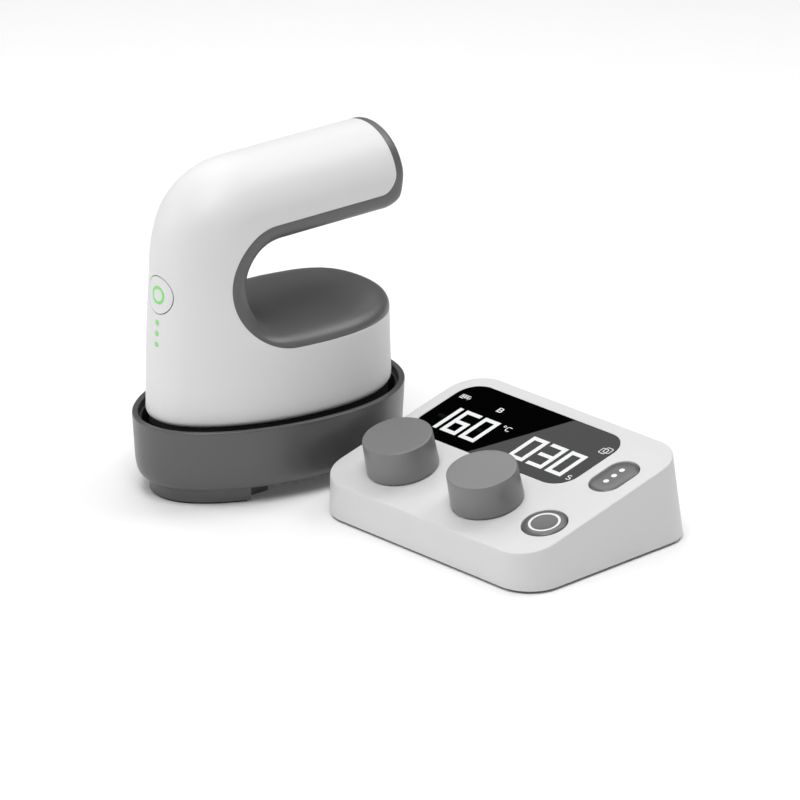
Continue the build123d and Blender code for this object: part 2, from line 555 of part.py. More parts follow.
for name, u, v in (("start_switch", START_U, START_V), ("mode_switch", MODE_U, MODE_V)):
    ct_put(name, panel_box(u - 3, u + 3, v - 3, v + 3, BH, BH + 2.6) + panel_cyl(u, v, BH + 2.6, SW_TOP, 1.7))

# rechargeable cell and its tray, charging port
cell = extrude(floor_rect(46, 104, 56, 92, 5.2, 3.0), amount=8.0)
ct_put("battery", cell)
holder = extrude(floor_rect(44, 106, 54, 94, 3.6, 3.0), amount=6.0) - extrude(floor_rect(45.8, 104.2, 55.8, 92.2, 5.2, 3.0), amount=9.0)
ct_put("battery_holder", holder)
pp_ = Plane(origin=(CT_V1 - 11.7, -PORT_U, PORT_Z), x_dir=(0, -1, 0), z_dir=(1, 0, 0))
port = extrude(pp_ * RectangleRounded(9.0, 3.3, 1.64), amount=9.0) - extrude(pp_.offset(2.5) * RectangleRounded(8.4, 2.6, 1.29), amount=10) + extrude(pp_.offset(2.0) * Rectangle(6.6, 0.7), amount=5.5)
ct_put("usb_c_port", port)
daughter = Plane(origin=(CT_V1 - 11.2, -PORT_U, PORT_Z - 2.45), x_dir=(0, -1, 0), z_dir=(0, 0, 1)) * Box(18, 12, 1.6)
daughter += Plane(origin=(CT_D - 7, -PORT_U, (PORT_Z - 3.25 + 3.6) / 2), z_dir=(0, 0, 1), x_dir=(0, -1, 0)) * Box(16, 4, PORT_Z - 3.25 - 3.6)
ct_put("port_board", daughter)

bb = Compound([b for a in PARTS.values() for b in a.solids()]).bounding_box()
print("bbox", bb.min, bb.max, "centre", (bb.min + bb.max) / 2)
print(len(PARTS), "nodes")
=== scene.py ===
import bpy, bmesh, math, json
import numpy as np
from mathutils import Vector, Matrix


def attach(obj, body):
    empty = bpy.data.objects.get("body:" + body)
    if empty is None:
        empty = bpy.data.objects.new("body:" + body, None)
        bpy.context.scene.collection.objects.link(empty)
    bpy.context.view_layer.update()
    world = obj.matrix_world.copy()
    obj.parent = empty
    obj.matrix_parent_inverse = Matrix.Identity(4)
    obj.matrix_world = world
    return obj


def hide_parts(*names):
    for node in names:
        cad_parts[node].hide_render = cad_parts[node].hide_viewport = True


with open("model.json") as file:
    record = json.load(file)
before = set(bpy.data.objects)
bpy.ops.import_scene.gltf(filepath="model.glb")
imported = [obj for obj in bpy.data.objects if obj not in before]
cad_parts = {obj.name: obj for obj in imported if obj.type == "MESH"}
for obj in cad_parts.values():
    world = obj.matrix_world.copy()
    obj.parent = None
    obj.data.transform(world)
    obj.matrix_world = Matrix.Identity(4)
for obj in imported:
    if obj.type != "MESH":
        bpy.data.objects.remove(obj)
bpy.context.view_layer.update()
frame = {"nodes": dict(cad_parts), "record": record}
NODES = frame["nodes"]
MM = 0.001
scene = bpy.context.scene

# ------------------------------------------------------------------- camera
FWD = Vector((0.60093, 0.70901, -0.36910)).normalized()
TARGET = Vector((0.0928, 0.1016, 0.0014))
cam_data = bpy.data.cameras.new("camera")
cam = bpy.data.objects.new("camera", cam_data)
scene.collection.objects.link(cam)
cam_data.sensor_width = 36.0
cam_data.lens = 270.0
cam.location = TARGET - FWD * 3.103
cam.rotation_mode = "QUATERNION"
cam.rotation_quaternion = FWD.to_track_quat("-Z", "Y")
cam_data.clip_start, cam_data.clip_end = 0.05, 60.0
scene.camera = cam

# ----------------------------------------------------------- light and floor
scene.view_settings.view_transform = "Standard"
scene.view_settings.look = "None"
scene.view_settings.exposure = 0.0
world = bpy.data.worlds.new("studio")
scene.world = world
world.use_nodes = True
bg = world.node_tree.nodes["Background"]
bg.inputs["Color"].default_value = (1.0, 1.0, 1.0, 1.0)
# a pale band round the horizon that fades out upwards
w_tc = world.node_tree.nodes.new("ShaderNodeTexCoord")
w_sep = world.node_tree.nodes.new("ShaderNodeSeparateXYZ")
w_band = world.node_tree.nodes.new("ShaderNodeMath")
w_band.operation, w_band.use_clamp = "MULTIPLY_ADD", True
w_band.inputs[1].default_value, w_band.inputs[2].default_value = -2.2, 1.0
w_mul = world.node_tree.nodes.new("ShaderNodeMath")
w_mul.operation = "MULTIPLY"
w_mul.inputs[1].default_value = 0.3
world.node_tree.links.new(w_tc.outputs["Generated"], w_sep.inputs[0])
world.node_tree.links.new(w_sep.outputs["Z"], w_band.inputs[0])
world.node_tree.links.new(w_band.outputs[0], w_mul.inputs[0])
world.node_tree.links.new(w_mul.outputs[0], bg.inputs["Strength"])


def area(name, loc, aim, sx, sy, watts):
    d = bpy.data.lights.new(name, "AREA")
    d.shape, d.size, d.size_y, d.energy = "RECTANGLE", sx, sy, watts
    o = bpy.data.objects.new(name, d)
    scene.collection.objects.link(o)
    o.location = loc
    o.rotation_mode = "QUATERNION"
    o.rotation_quaternion = (Vector(aim) - Vector(loc)).to_track_quat("-Z", "Y")
    return o


C0 = (0.0, 0.0, 0.06)
area("key_left", (-1.5, 0.55, 1.55), C0, 1.2, 1.2, 3.6)
area("back_left", (-1.15, 1.3, 0.75), C0, 0.55, 0.55, 4.4)
area("top_soft", (0.2, 0.3, 2.1), C0, 1.6, 1.6, 11.5)
area("left_low", (-1.7, 0.3, 0.4), C0, 0.8, 1.2, 2.4)
area("right_low", (0.75, -1.55, 0.75), C0, 0.9, 0.9, 1.7)
area("back_soft", (0.1, 1.9, 1.0), C0, 1.4, 1.4, 3.4)
area("top_right", (1.2, -0.3, 1.6), C0, 0.9, 0.9, 10.0)
area("top_front", (-0.7, -0.5, 1.8), C0, 1.1, 1.1, 19.5)



def floor_material():
    m = bpy.data.materials.new("floor_white")
    m.use_nodes = True
    nt = m.node_tree
    b = nt.nodes["Principled BSDF"]
    b.inputs["Base Color"].default_value = (0.96, 0.96, 0.96, 1)
    b.inputs["Roughness"].default_value = 0.9
    b.inputs["Specular IOR Level"].default_value = 0.1
    b.inputs["Emission Color"].default_value = (1, 1, 1, 1)
    b.inputs["Emission Strength"].default_value = 0.05
    return m


fm = bpy.data.meshes.new("floor")
fm.from_pydata([(-9, -9, 0), (9, -9, 0), (9, 9, 0), (-9, 9, 0)], [], [(0, 1, 2, 3)])
floor = bpy.data.objects.new("floor", fm)
scene.collection.objects.link(floor)
fm.materials.append(floor_material())


# ---------------------------------------------------------------- materials
def plastic(name, colour, rough=0.42, var=0.02, grain=0.00035, bump=0.06, spec=0.5, coat=0.0, fleck=None, rough_var=0.05, metallic=0.0, brushed=None):
    """Moulded or machined finish: fine texture, slight tone and gloss variation."""
    m = bpy.data.materials.new(name)
    m.use_nodes = True
    nt = m.node_tree
    n, l = nt.nodes, nt.links
    b = n["Principled BSDF"]
    tc = n.new("ShaderNodeTexCoord")
    big = n.new("ShaderNodeTexNoise")
    big.inputs["Scale"].default_value = 14.0
    big.inputs["Detail"].default_value = 3.0
    l.new(tc.outputs["Object"], big.inputs["Vector"])
    fine = n.new("ShaderNodeTexNoise")
    fine.inputs["Scale"].default_value = 0.55 / grain
    fine.inputs["Detail"].default_value = 2.0
    fine.inputs["Roughness"].default_value = 0.6
    if brushed:
        mp = n.new("ShaderNodeMapping")
        mp.inputs["Scale"].default_value = brushed
        l.new(tc.outputs["Object"], mp.inputs["Vector"])
        l.new(mp.outputs["Vector"], fine.inputs["Vector"])
    else:
        l.new(tc.outputs["Object"], fine.inputs["Vector"])
    c = colour
    ramp = n.new("ShaderNodeMix")
    ramp.data_type = "RGBA"
    ramp.inputs["A"].default_value = (c[0] * (1 - var), c[1] * (1 - var), c[2] * (1 - var), 1)
    ramp.inputs["B"].default_value = (min(1, c[0] * (1 + var)), min(1, c[1] * (1 + var)), min(1, c[2] * (1 + var)), 1)
    l.new(big.outputs["Fac"], ramp.inputs["Factor"])
    out = ramp.outputs["Result"]
    speck = n.new("ShaderNodeMapRange")
    speck.inputs["From Min"].default_value, speck.inputs["From Max"].default_value = 0.25, 0.75
    speck.inputs["To Min"].default_value, speck.inputs["To Max"].default_value = 1 - var * 1.2, 1 + var * 1.2
    l.new(fine.outputs["Fac"], speck.inputs["Value"])
    mul = n.new("ShaderNodeVectorMath")
    mul.operation = "SCALE"
    l.new(out, mul.inputs[0])
    l.new(speck.outputs["Result"], mul.inputs["Scale"])
    l.new(mul.outputs["Vector"], b.inputs["Base Color"])
    rr = n.new("ShaderNodeMapRange")
    rr.inputs["To Min"].default_value, rr.inputs["To Max"].default_value = rough - rough_var, rough + rough_var
    l.new(fine.outputs["Fac"], rr.inputs["Value"])
    l.new(rr.outputs["Result"], b.inputs["Roughness"])
    bp = n.new("ShaderNodeBump")
    bp.inputs["Strength"].default_value = bump
    bp.inputs["Distance"].default_value = 0.0001
    l.new(fine.outputs["Fac"], bp.inputs["Height"])
    l.new(bp.outputs["Normal"], b.inputs["Normal"])
    b.inputs["Specular IOR Level"].default_value = spec
    b.inputs["Metallic"].default_value = metallic
    b.inputs["Coat Weight"].default_value = coat
    return m


M = {
    "shell_white": plastic("shell_white", (0.795, 0.795, 0.795), 0.44, 0.006, bump=0.04),
    "grip_grey": plastic("grip_grey", (0.102, 0.102, 0.103), 0.42, 0.02, bump=0.06, spec=0.95),
    "tray_grey": plastic("tray_grey", (0.072, 0.072, 0.073), 0.34, 0.02, bump=0.06, spec=0.85),
    "liner_black": plastic("liner_black", (0.018, 0.018, 0.018), 0.7, 0.1, bump=0.3),
    "mat_black": plastic("mat_black", (0.02, 0.02, 0.022), 0.75, 0.1, bump=0.3),
    "rubber_black": plastic("rubber_black", (0.012, 0.012, 0.012), 0.75, 0.1, bump=0.3),
    "steel": plastic("steel", (0.55, 0.55, 0.56), 0.3, 0.04, metallic=1.0, brushed=(1, 1, 12)),
    "platen": plastic("platen", (0.05, 0.05, 0.052), 0.35, 0.08, bump=0.2),
    "element_steel": plastic("element_steel", (0.35, 0.31, 0.28), 0.4, 0.12, metallic=1.0),
    "mica_board": plastic("mica_board", (0.55, 0.47, 0.33), 0.8, 0.12, grain=0.0012, bump=0.5),
    "thermostat": plastic("thermostat", (0.72, 0.70, 0.62), 0.5, 0.05, bump=0.15),
    "pcb_green": plastic("pcb_green", (0.015, 0.12, 0.04), 0.35, 0.12, coat=0.3),
    "switch_black": plastic("switch_black", (0.02, 0.02, 0.02), 0.45, 0.08),
    "nylon_natural": plastic("nylon_natural", (0.62, 0.60, 0.52), 0.5, 0.03),
    "light_green": plastic("light_green", (0.26, 0.80, 0.20), 0.3, 0.02),
    "controller_white": plastic("controller_white", (0.71, 0.71, 0.71), 0.45, 0.006, bump=0.04),
    "knob_grey": plastic("knob_grey", (0.195, 0.195, 0.196), 0.34, 0.02, bump=0.04, spec=0.7),
    "button_grey": plastic("button_grey", (0.10, 0.10, 0.101), 0.34, 0.02, bump=0.04, spec=0.85),
    "icon_white": plastic("icon_white", (0.9, 0.9, 0.9), 0.3, 0.01),
    "window_black": plastic("window_black", (0.001, 0.001, 0.001), 0.006, 0.02, bump=0.0, spec=0.22, rough_var=0.002),
    "lcd": plastic("lcd", (0.03, 0.035, 0.03), 0.2, 0.05, bump=0.0),
    "brass": plastic("brass", (0.72, 0.5, 0.2), 0.3, 0.05, metallic=1.0),
    "base_grey": plastic("base_grey", (0.10, 0.10, 0.10), 0.5, 0.03),
    "cell_blue": plastic("cell_blue", (0.45, 0.48, 0.52), 0.3, 0.05, coat=0.4),
}
M["display_lit"] = plastic("display_lit", (0.86, 0.87, 0.88), 0.4, 0.01, bump=0.0)
M["display_unlit"] = plastic("display_unlit", (0.008, 0.008, 0.009), 0.01, 0.02, bump=0.0, spec=0.22, rough_var=0.002)
slots = {s["node"]: s["material_slot"] for s in frame["record"]["subparts"]}
for name, o in NODES.items():
    mat = M[slots[name]]
    o.data.materials.clear()
    o.data.materials.append(mat)


# ------------------------------------------------------------ geometry tools
SX, SY = -13.5, 81.3            # the press's own middle, in the row frame, mm
RA, RB, RN, RK = 76.05, 50.93, 2.134, 0.165


def spow(v, e):
    return np.sign(v) * np.abs(v) ** e


def rim_xy(t, inset=0.0):
    """Point of the tray's oval at parameter t, moved inwards along its normal."""
    t = np.asarray(t, float)

    def p(t):
        c, s = np.cos(t), np.sin(t)
        x = RA * spow(c, 2 / RN)
        return x, RB * (1 + RK * x / RA) * spow(s, 2 / RN)
    x, y = p(t)
    x1, y1 = p(t - 2e-3)
    x2, y2 = p(t + 2e-3)
    nx, ny = (y2 - y1), -(x2 - x1)
    n = np.hypot(nx, ny)
    return x - inset * nx / n, y - inset * ny / n


def resample(P, n, w=None):
    """n points along polyline P, evenly by length, or at the given shares w."""
    P = np.asarray(P, float)
    d = np.r_[0, np.cumsum(np.linalg.norm(np.diff(P, axis=0), axis=1))]
    if w is None:
        w = np.linspace(0, 1, n)
    return np.stack([np.interp(np.asarray(w) * d[-1], d, P[:, i]) for i in range(P.shape[1])], 1)


class Surf:
    """Collects grids of points and joins them into one surface."""

    def __init__(self):
        self.v, self.f = [], []
        self.n = 0

    def add(self, P):
        P = np.asarray(P, float)
        idx = np.arange(self.n, self.n + P[..., 0].size).reshape(P.shape[:-1])
        self.v.append(P.reshape(-1, 3))
        self.n += P[..., 0].size
        return idx

    def quads(self, I, flip=False, skip=None):
        for a in range(I.shape[0] - 1):
            for b in range(I.shape[1] - 1):
                if skip is not None and skip(a, b):
                    continue
                q = (I[a, b], I[a, b + 1], I[a + 1, b + 1], I[a + 1, b])
                self.f.append(tuple(reversed(q)) if flip else q)

    def grid(self, P, flip=False, skip=None):
        I = self.add(P)
        self.quads(I, flip, skip)
        return I

    def bridge(self, A, B, flip=False, closed=True):
        n = len(A)
        for i in range(n if closed else n - 1):
            j = (i + 1) % n
            q = (A[i], A[j], B[j], B[i])
            self.f.append(tuple(reversed(q)) if flip else q)

    def fan(self, loop, centre, flip=False):
        c = self.add(np.asarray([centre], float))[0]
        n = len(loop)
        for i in range(n):
            q = (loop[i], loop[(i + 1) % n], c)
            self.f.append(tuple(reversed(q)) if flip else q)

    def arrays(self, mirror_y=False, tol=1e-3):
        V = np.concatenate(self.v)
        F = list(self.f)
        if mirror_y:
            W = V.copy()
            W[:, 1] *= -1
            F = F + [tuple(reversed([i + len(V) for i in f])) for f in F]
            V = np.concatenate([V, W])
        return weld(V, F, tol)


def weld(V, F, tol=1e-3):
    """Joins points that coincide and drops faces that collapse."""
    Q = np.floor(V / tol + 0.37).astype(np.int64)
    _, first, new = np.unique(Q, axis=0, return_index=True, return_inverse=True)
    new = new.reshape(-1)
    out = []
    for f in F:
        g = []
        for i in f:
            j = int(new[i])
            if not g or g[-1] != j:
                g.append(j)
        if len(g) > 1 and g[0] == g[-1]:
            g.pop()
        if len(g) >= 3 and len(set(g)) == len(g):
            out.append(tuple(g))
    used = sorted({i for f in out for i in f})
    at = {i: k for k, i in enumerate(used)}
    return V[first][used], [tuple(at[i] for i in f) for f in out]


def vertex_normals(V, F):
    N = np.zeros_like(V)
    for size in {len(f) for f in F}:
        A = np.array([f for f in F if len(f) == size])
        P = V[A]
        C = P.mean(1, keepdims=True)
        n = np.cross(P - C, np.roll(P, -1, 1) - C).sum(1)
        n /= np.linalg.norm(n, axis=1)[:, None] + 1e-15
        a = np.roll(P, -1, 1) - P
        b = np.roll(P, 1, 1) - P
        la, lb = np.linalg.norm(a, axis=2), np.linalg.norm(b, axis=2)
        ang = np.arccos(np.clip((a * b).sum(2) / (la * lb + 1e-15), -1, 1))
        for k in range(size):
            np.add.at(N, A[:, k], n * ang[:, k:k + 1])
    L = np.linalg.norm(N, axis=1)
    L[L < 1e-9] = 1
    return N / L[:, None]


def border_loops(F):
    edges = {}
    for f in F:
        for i in range(len(f)):
            edges[(f[i], f[(i + 1) % len(f)])] = f
    nxt = {a: b for (a, b) in edges if (b, a) not in edges}
    loops, seen = [], set()
    for a in list(nxt):
        if a in seen:
            continue
        loop, c = [], a
        while c not in seen:
            seen.add(c)
            loop.append(c)
            c = nxt[c]
        loops.append(loop)
    return loops


def thicken(V, F, T, r=0.25, steps=3, normals=None):
    """A closed shell of thickness T inside the surface, its borders rounded by r."""
    N = vertex_normals(V, F) if normals is None else normals
    n0 = len(V)
    inner = V - N * T
    V2 = [V.copy(), inner]
    F2 = list(F) + [tuple(reversed([i + n0 for i in f])) for f in F]
    count = 2 * n0
    outer = V2[0]
    nb = {}
    for f in F:
        for i in range(len(f)):
            nb.setdefault(f[i], set()).update(f)
    for loop in border_loops(F):
        L = np.array(loop)
        P = V[L]
        tang = np.roll(P, -1, 0) - np.roll(P, 1, 0)
        tang /= np.linalg.norm(tang, axis=1)[:, None] + 1e-12
        n = N[L]
        d = np.cross(n, tang)
        d /= np.linalg.norm(d, axis=1)[:, None] + 1e-12
        s = set(loop)
        for k, i in enumerate(loop):
            ins = [j for j in nb[i] if j not in s]
            if ins and (V[ins].mean(0) - V[i]) @ d[k] < 0:
                d[k] = -d[k]
        rings = [L]
        for q in range(steps + 1):
            th = math.pi / 2 * q / steps
            pos = P + d * r * (1 - math.sin(th)) - n * r * (1 - math.cos(th))
            if q == 0:
                outer[L] = pos
            else:
                V2.append(pos)
                rings.append(np.arange(count, count + len(L)))
                count += len(L)
        rings.append(L + n0)
        m = len(L)
        for a, b in zip(rings[:-1], rings[1:]):
            for i in range(m):
                j = (i + 1) % m
                F2.append((int(a[j]), int(a[i]), int(b[i]), int(b[j])))
    return np.concatenate(V2), F2


def mesh_object(name, V, F, mat, body, replaces=(), sharp=35.0, scale=MM, shift=(SX, SY, 0.0)):
    P = (np.asarray(V, float) + np.array(shift)) * scale
    me = bpy.data.meshes.new(name)
    me.from_pydata(P.tolist(), [], [tuple(int(i) for i in f) for f in F])
    me.validate()
    bm = bmesh.new()
    bm.from_mesh(me)
    bmesh.ops.remove_doubles(bm, verts=bm.verts, dist=2e-6)
    bmesh.ops.dissolve_degenerate(bm, edges=bm.edges, dist=1e-7)
    bmesh.ops.recalc_face_normals(bm, faces=bm.faces)
    lim = math.radians(sharp)
    for e in bm.edges:
        e.smooth = not (len(e.link_faces) == 2 and e.calc_face_angle(0.0) > lim)
    for f in bm.faces:
        f.smooth = True
    bm.to_mesh(me)
    bm.free()
    me.materials.append(mat)
    o = bpy.data.objects.new(name, me)
    scene.collection.objects.link(o)
    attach(o, body)
    if replaces:
        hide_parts(*replaces)
    return o

# --------------------------------------------------------------- press shape
DECK, CROWN, HZ, HW = 78.2, 169.05, 144.0, 25.6
THC, THR = (-11.65, 108.0), 29.8       # edge of the throat, seen from the side
TVC, TVR, TVE, NT0 = (-4.2, 106.7), 20.6, 0.85, 2.2   # the throat on the centre plane
SPLIT = -11.65
BODY_IN = 6.9


def nose_x(z):
    if z < 118.5:
        return -66.2 - 0.0544 * (118.5 - z)
    return -14.4 - 51.8 * max(0.0, 1 - ((z - 118.5) / (CROWN - 118.5)) ** 2.14) ** (1 / 2.14)


def width_length(z):
    if z < HZ:
        t = (HZ - z) / 65.0
        w, l = HW + (43.23 - HW) * t ** 1.5, 34.0 + 34.35 * t ** 1.2
        u = (z - DECK) / 14.0
        if 0 <= u < 1:
            w += 0.385 * (z - DECK) * (1 - u) ** 2
            l += 0.62 * (z - DECK) * (1 - u) ** 2
        return w, l
    h = math.sqrt(max(0.0, 1 - ((z - HZ) / (CROWN - HZ)) ** 2))
    return HW * h, 34.0 * h


def wall_inset(z):
    return BODY_IN + 0.8 * (z - 43.8) / (DECK - 43.8)


ANG = np.linspace(0, math.pi / 2, 181)


def law(z):
    w, l = width_length(z)
    x = nose_x(z) + l * (1 - np.cos(ANG).clip(0) ** (2 / RN))
    y = w * np.sin(ANG) ** (2 / RN)
    y = y * (1 + RK * np.minimum(0.0, x) / 68.35 * min(1.0, max(0.0, (HZ - z) / 65.0)))
    return x, y


_ox, _oy = rim_xy(math.pi - ANG, BODY_IN + 0.8)
_oy[0] = 0.0
_lx, _ly = law(DECK)


def section(z, end=80.0, inset=None):
    """Half outline of the press at a level, from the nose backwards."""
    if z <= DECK:
        i = wall_inset(z) if inset is None else inset
        x, y = rim_xy(np.linspace(math.pi, 0, 361), i)
        y[0] = y[-1] = 0.0
        return np.stack([x, y], 1)
    x, y = law(z)
    u = (z - DECK) / 18.0
    if u < 1:
        k = 1 - u * u * (3 - 2 * u)
        x, y = x + k * (_ox - _lx), y + k * (_oy - _ly)
    return np.concatenate([np.stack([x, y], 1), [[end, y[-1]]]])


_sec = {}


def half_width(x, z):
    k = round(z, 4)
    if k not in _sec:
        _sec[k] = section(max(z, DECK + 1e-6))
    s = _sec[k]
    return float(np.interp(x, s[:, 0], s[:, 1]))


def surf_x(y, z):
    """x of the nose's surface at a height and a distance from the centre."""
    k = round(z, 4)
    if k not in _sec:
        _sec[k] = section(max(z, DECK + 1e-6))
    s = _sec[k]
    m = s[:, 0] < -20
    return float(np.interp(y, s[m, 1], s[m, 0]))


def cut_at(S, x):
    """Outline S from the nose to where it crosses x."""
    i = int(np.argmax(S[:, 0] >= x))
    t = (x - S[i - 1, 0]) / (S[i, 0] - S[i - 1, 0])
    return np.concatenate([S[:i], [S[i - 1] + t * (S[i] - S[i - 1])]]), np.concatenate([[S[i - 1] + t * (S[i] - S[i - 1])], S[i:]])


def with_z(P, z):
    return np.concatenate([P, np.full((len(P), 1), z)], 1)


PSI = np.concatenate([np.radians(np.linspace(a, b, n, endpoint=False)) for a, b, n in ((-90, -54.2, 16), (-54.2, -38.0, 8), (-38.0, -24.2, 8), (-24.2, 21.9, 24), (21.9, 90.0001, 28))] + [[math.pi / 2]])
THROAT_Z = THC[1] + THR * np.sin(PSI)
THROAT_X = THC[0] - THR * np.cos(PSI)
PS2 = np.linspace(0, math.pi / 2, 13)
CORNER = [(55.45 + 9.9 * math.sin(p), 147.70 - 9.9 * math.cos(p)) for p in PS2]
PHI = np.linspace(math.asin(3.70 / (CROWN - HZ)), math.pi / 2, 44)
END_Z = [HZ + (CROWN - HZ) * math.sin(p) for p in PHI]
NC, MC, HC = 72, 72, 64          # columns: nose, back of the base, handle
D_COL, B_COL = 7, 24


def make_shell():
    S = Surf()
    rows, secs = [], []
    for q in range(8):
        a = math.pi / 2 * (1 - q / 8)
        z = 43.8 - 3.2 * math.sin(a)
        rows.append((z, SPLIT, BODY_IN + 3.2 * (1 - math.cos(a))))
    for z in np.linspace(43.8, DECK, 25)[:-1]:
        rows.append((z, SPLIT, wall_inset(z)))
    n_base = len(rows)
    g1, g2, g3 = [], [], []
    for z, xs, i in rows:
        a, b = cut_at(section(z, inset=i), xs)
        g1.append(with_z(resample(a, NC + 1), z))
        g2.append(with_z(resample(b, MC + 1), z))
    a, b = cut_at(section(DECK), SPLIT)
    g2.append(with_z(resample(b, MC + 1), DECK))
    for z, x in zip(THROAT_Z[:-1], THROAT_X[:-1]):
        a, b = cut_at(section(max(z, DECK)), x)
        g1.append(with_z(resample(a, NC + 1), z))
    top = [(z, x) for x, z in CORNER] + [(z, end_edge(z)) for z in END_Z[1:]]
    for z, xe in top:
        if z >= CROWN - 1e-6:
            g1.append(np.tile([SPLIT, 0, CROWN], (NC + 1, 1)))
            g3.append(np.stack([np.linspace(SPLIT, xe, HC + 1), np.zeros(HC + 1), np.full(HC + 1, CROWN)], 1))
            continue
        a, b = cut_at(section(z), SPLIT)
        g1.append(with_z(resample(a, NC + 1), z))
        xs = np.linspace(SPLIT, xe, HC + 1)
        s = section(z)
        g3.append(np.stack([xs, np.interp(xs, s[:, 0], s[:, 1]), np.full(HC + 1, z)], 1))
    G1 = np.array(g1)
    windows = []
    base = n_base
    edges = [base, base + 16, base + 24, base + 32, base + 56]
    # the lights' windows start a little above the deck line
    windows = [(base + 9, base + 16, D_COL, 81.7, 1.42), (base + 16, base + 24, D_COL, 87.3, 1.42), (base + 24, base + 32, D_COL, 93.1, 1.42), (base + 32, base + 56, B_COL, 107.4, 9.85)]

    def inside(a, b):
        return any(r0 <= a < r1 and b < jn for r0, r1, jn, zc, r in windows)
    I = S.grid(G1, skip=inside)
    S.grid(np.array(g2))
    S.grid(np.array(g3))
    for r0, r1, jn, zc, r in windows:
        path = [I[r0, j] for j in range(jn + 1)] + [I[k, jn] for k in range(r0 + 1, r1 + 1)] + [I[r1, j] for j in range(jn - 1, -1, -1)]
        flat = G1.reshape(-1, 3)
        P = flat[np.array(path)]
        th = np.arctan2(P[:, 2] - zc, P[:, 1])
        C = np.stack([r * np.cos(th), zc + r * np.sin(th)], 1)
        C[0], C[-1] = (0, zc - r), (0, zc + r)
        prev = np.array(path)
        steps = 7 if r < 5 else 8
        for q in range(1, steps + 1):
            k = (q / steps) ** 0.8
            yz = P[:, 1:] * (1 - k) + C * k
            yz[0, 0] = yz[-1, 0] = 0.0
            ring = S.add(np.array([[surf_x(y, z), y, z] for y, z in yz]))
            S.bridge(prev, ring, closed=False)
            prev = ring
    V, F = S.arrays(mirror_y=True)
    return thicken(V, [f[::-1] for f in F], 2.3, 0.22, 3)


def smooth(t):
    t = min(1.0, max(0.0, t))
    return t * t * (3 - 2 * t)


# deck: height and width of its rounding, from the throat to the tip
DH0, DH1, DD0, DD1, DM = 7.2, 1.6, 20.0, 11.0, 2.6


def deck_height(x, d):
    t = np.clip((x + 5) / 65.0, 0, 1)
    h = DH0 + DH1 * t
    t = np.clip((x - 34) / 28.0, 0, 1)
    t = t * t * (3 - 2 * t)
    w = DD0 + (DD1 - DD0) * t
    return h * (1 - (1 - np.minimum(1.0, d / w)) ** DM) ** (1 / (2.0 + 0.3 * t))


END_X = 71.2                     # end face of the handle at z = 143


def end_face(z):
    return END_X - 0.05 * (z - 143.4)


def end_edge(z):
    return 65.35 - 0.04 * max(0.0, z - 148.4)


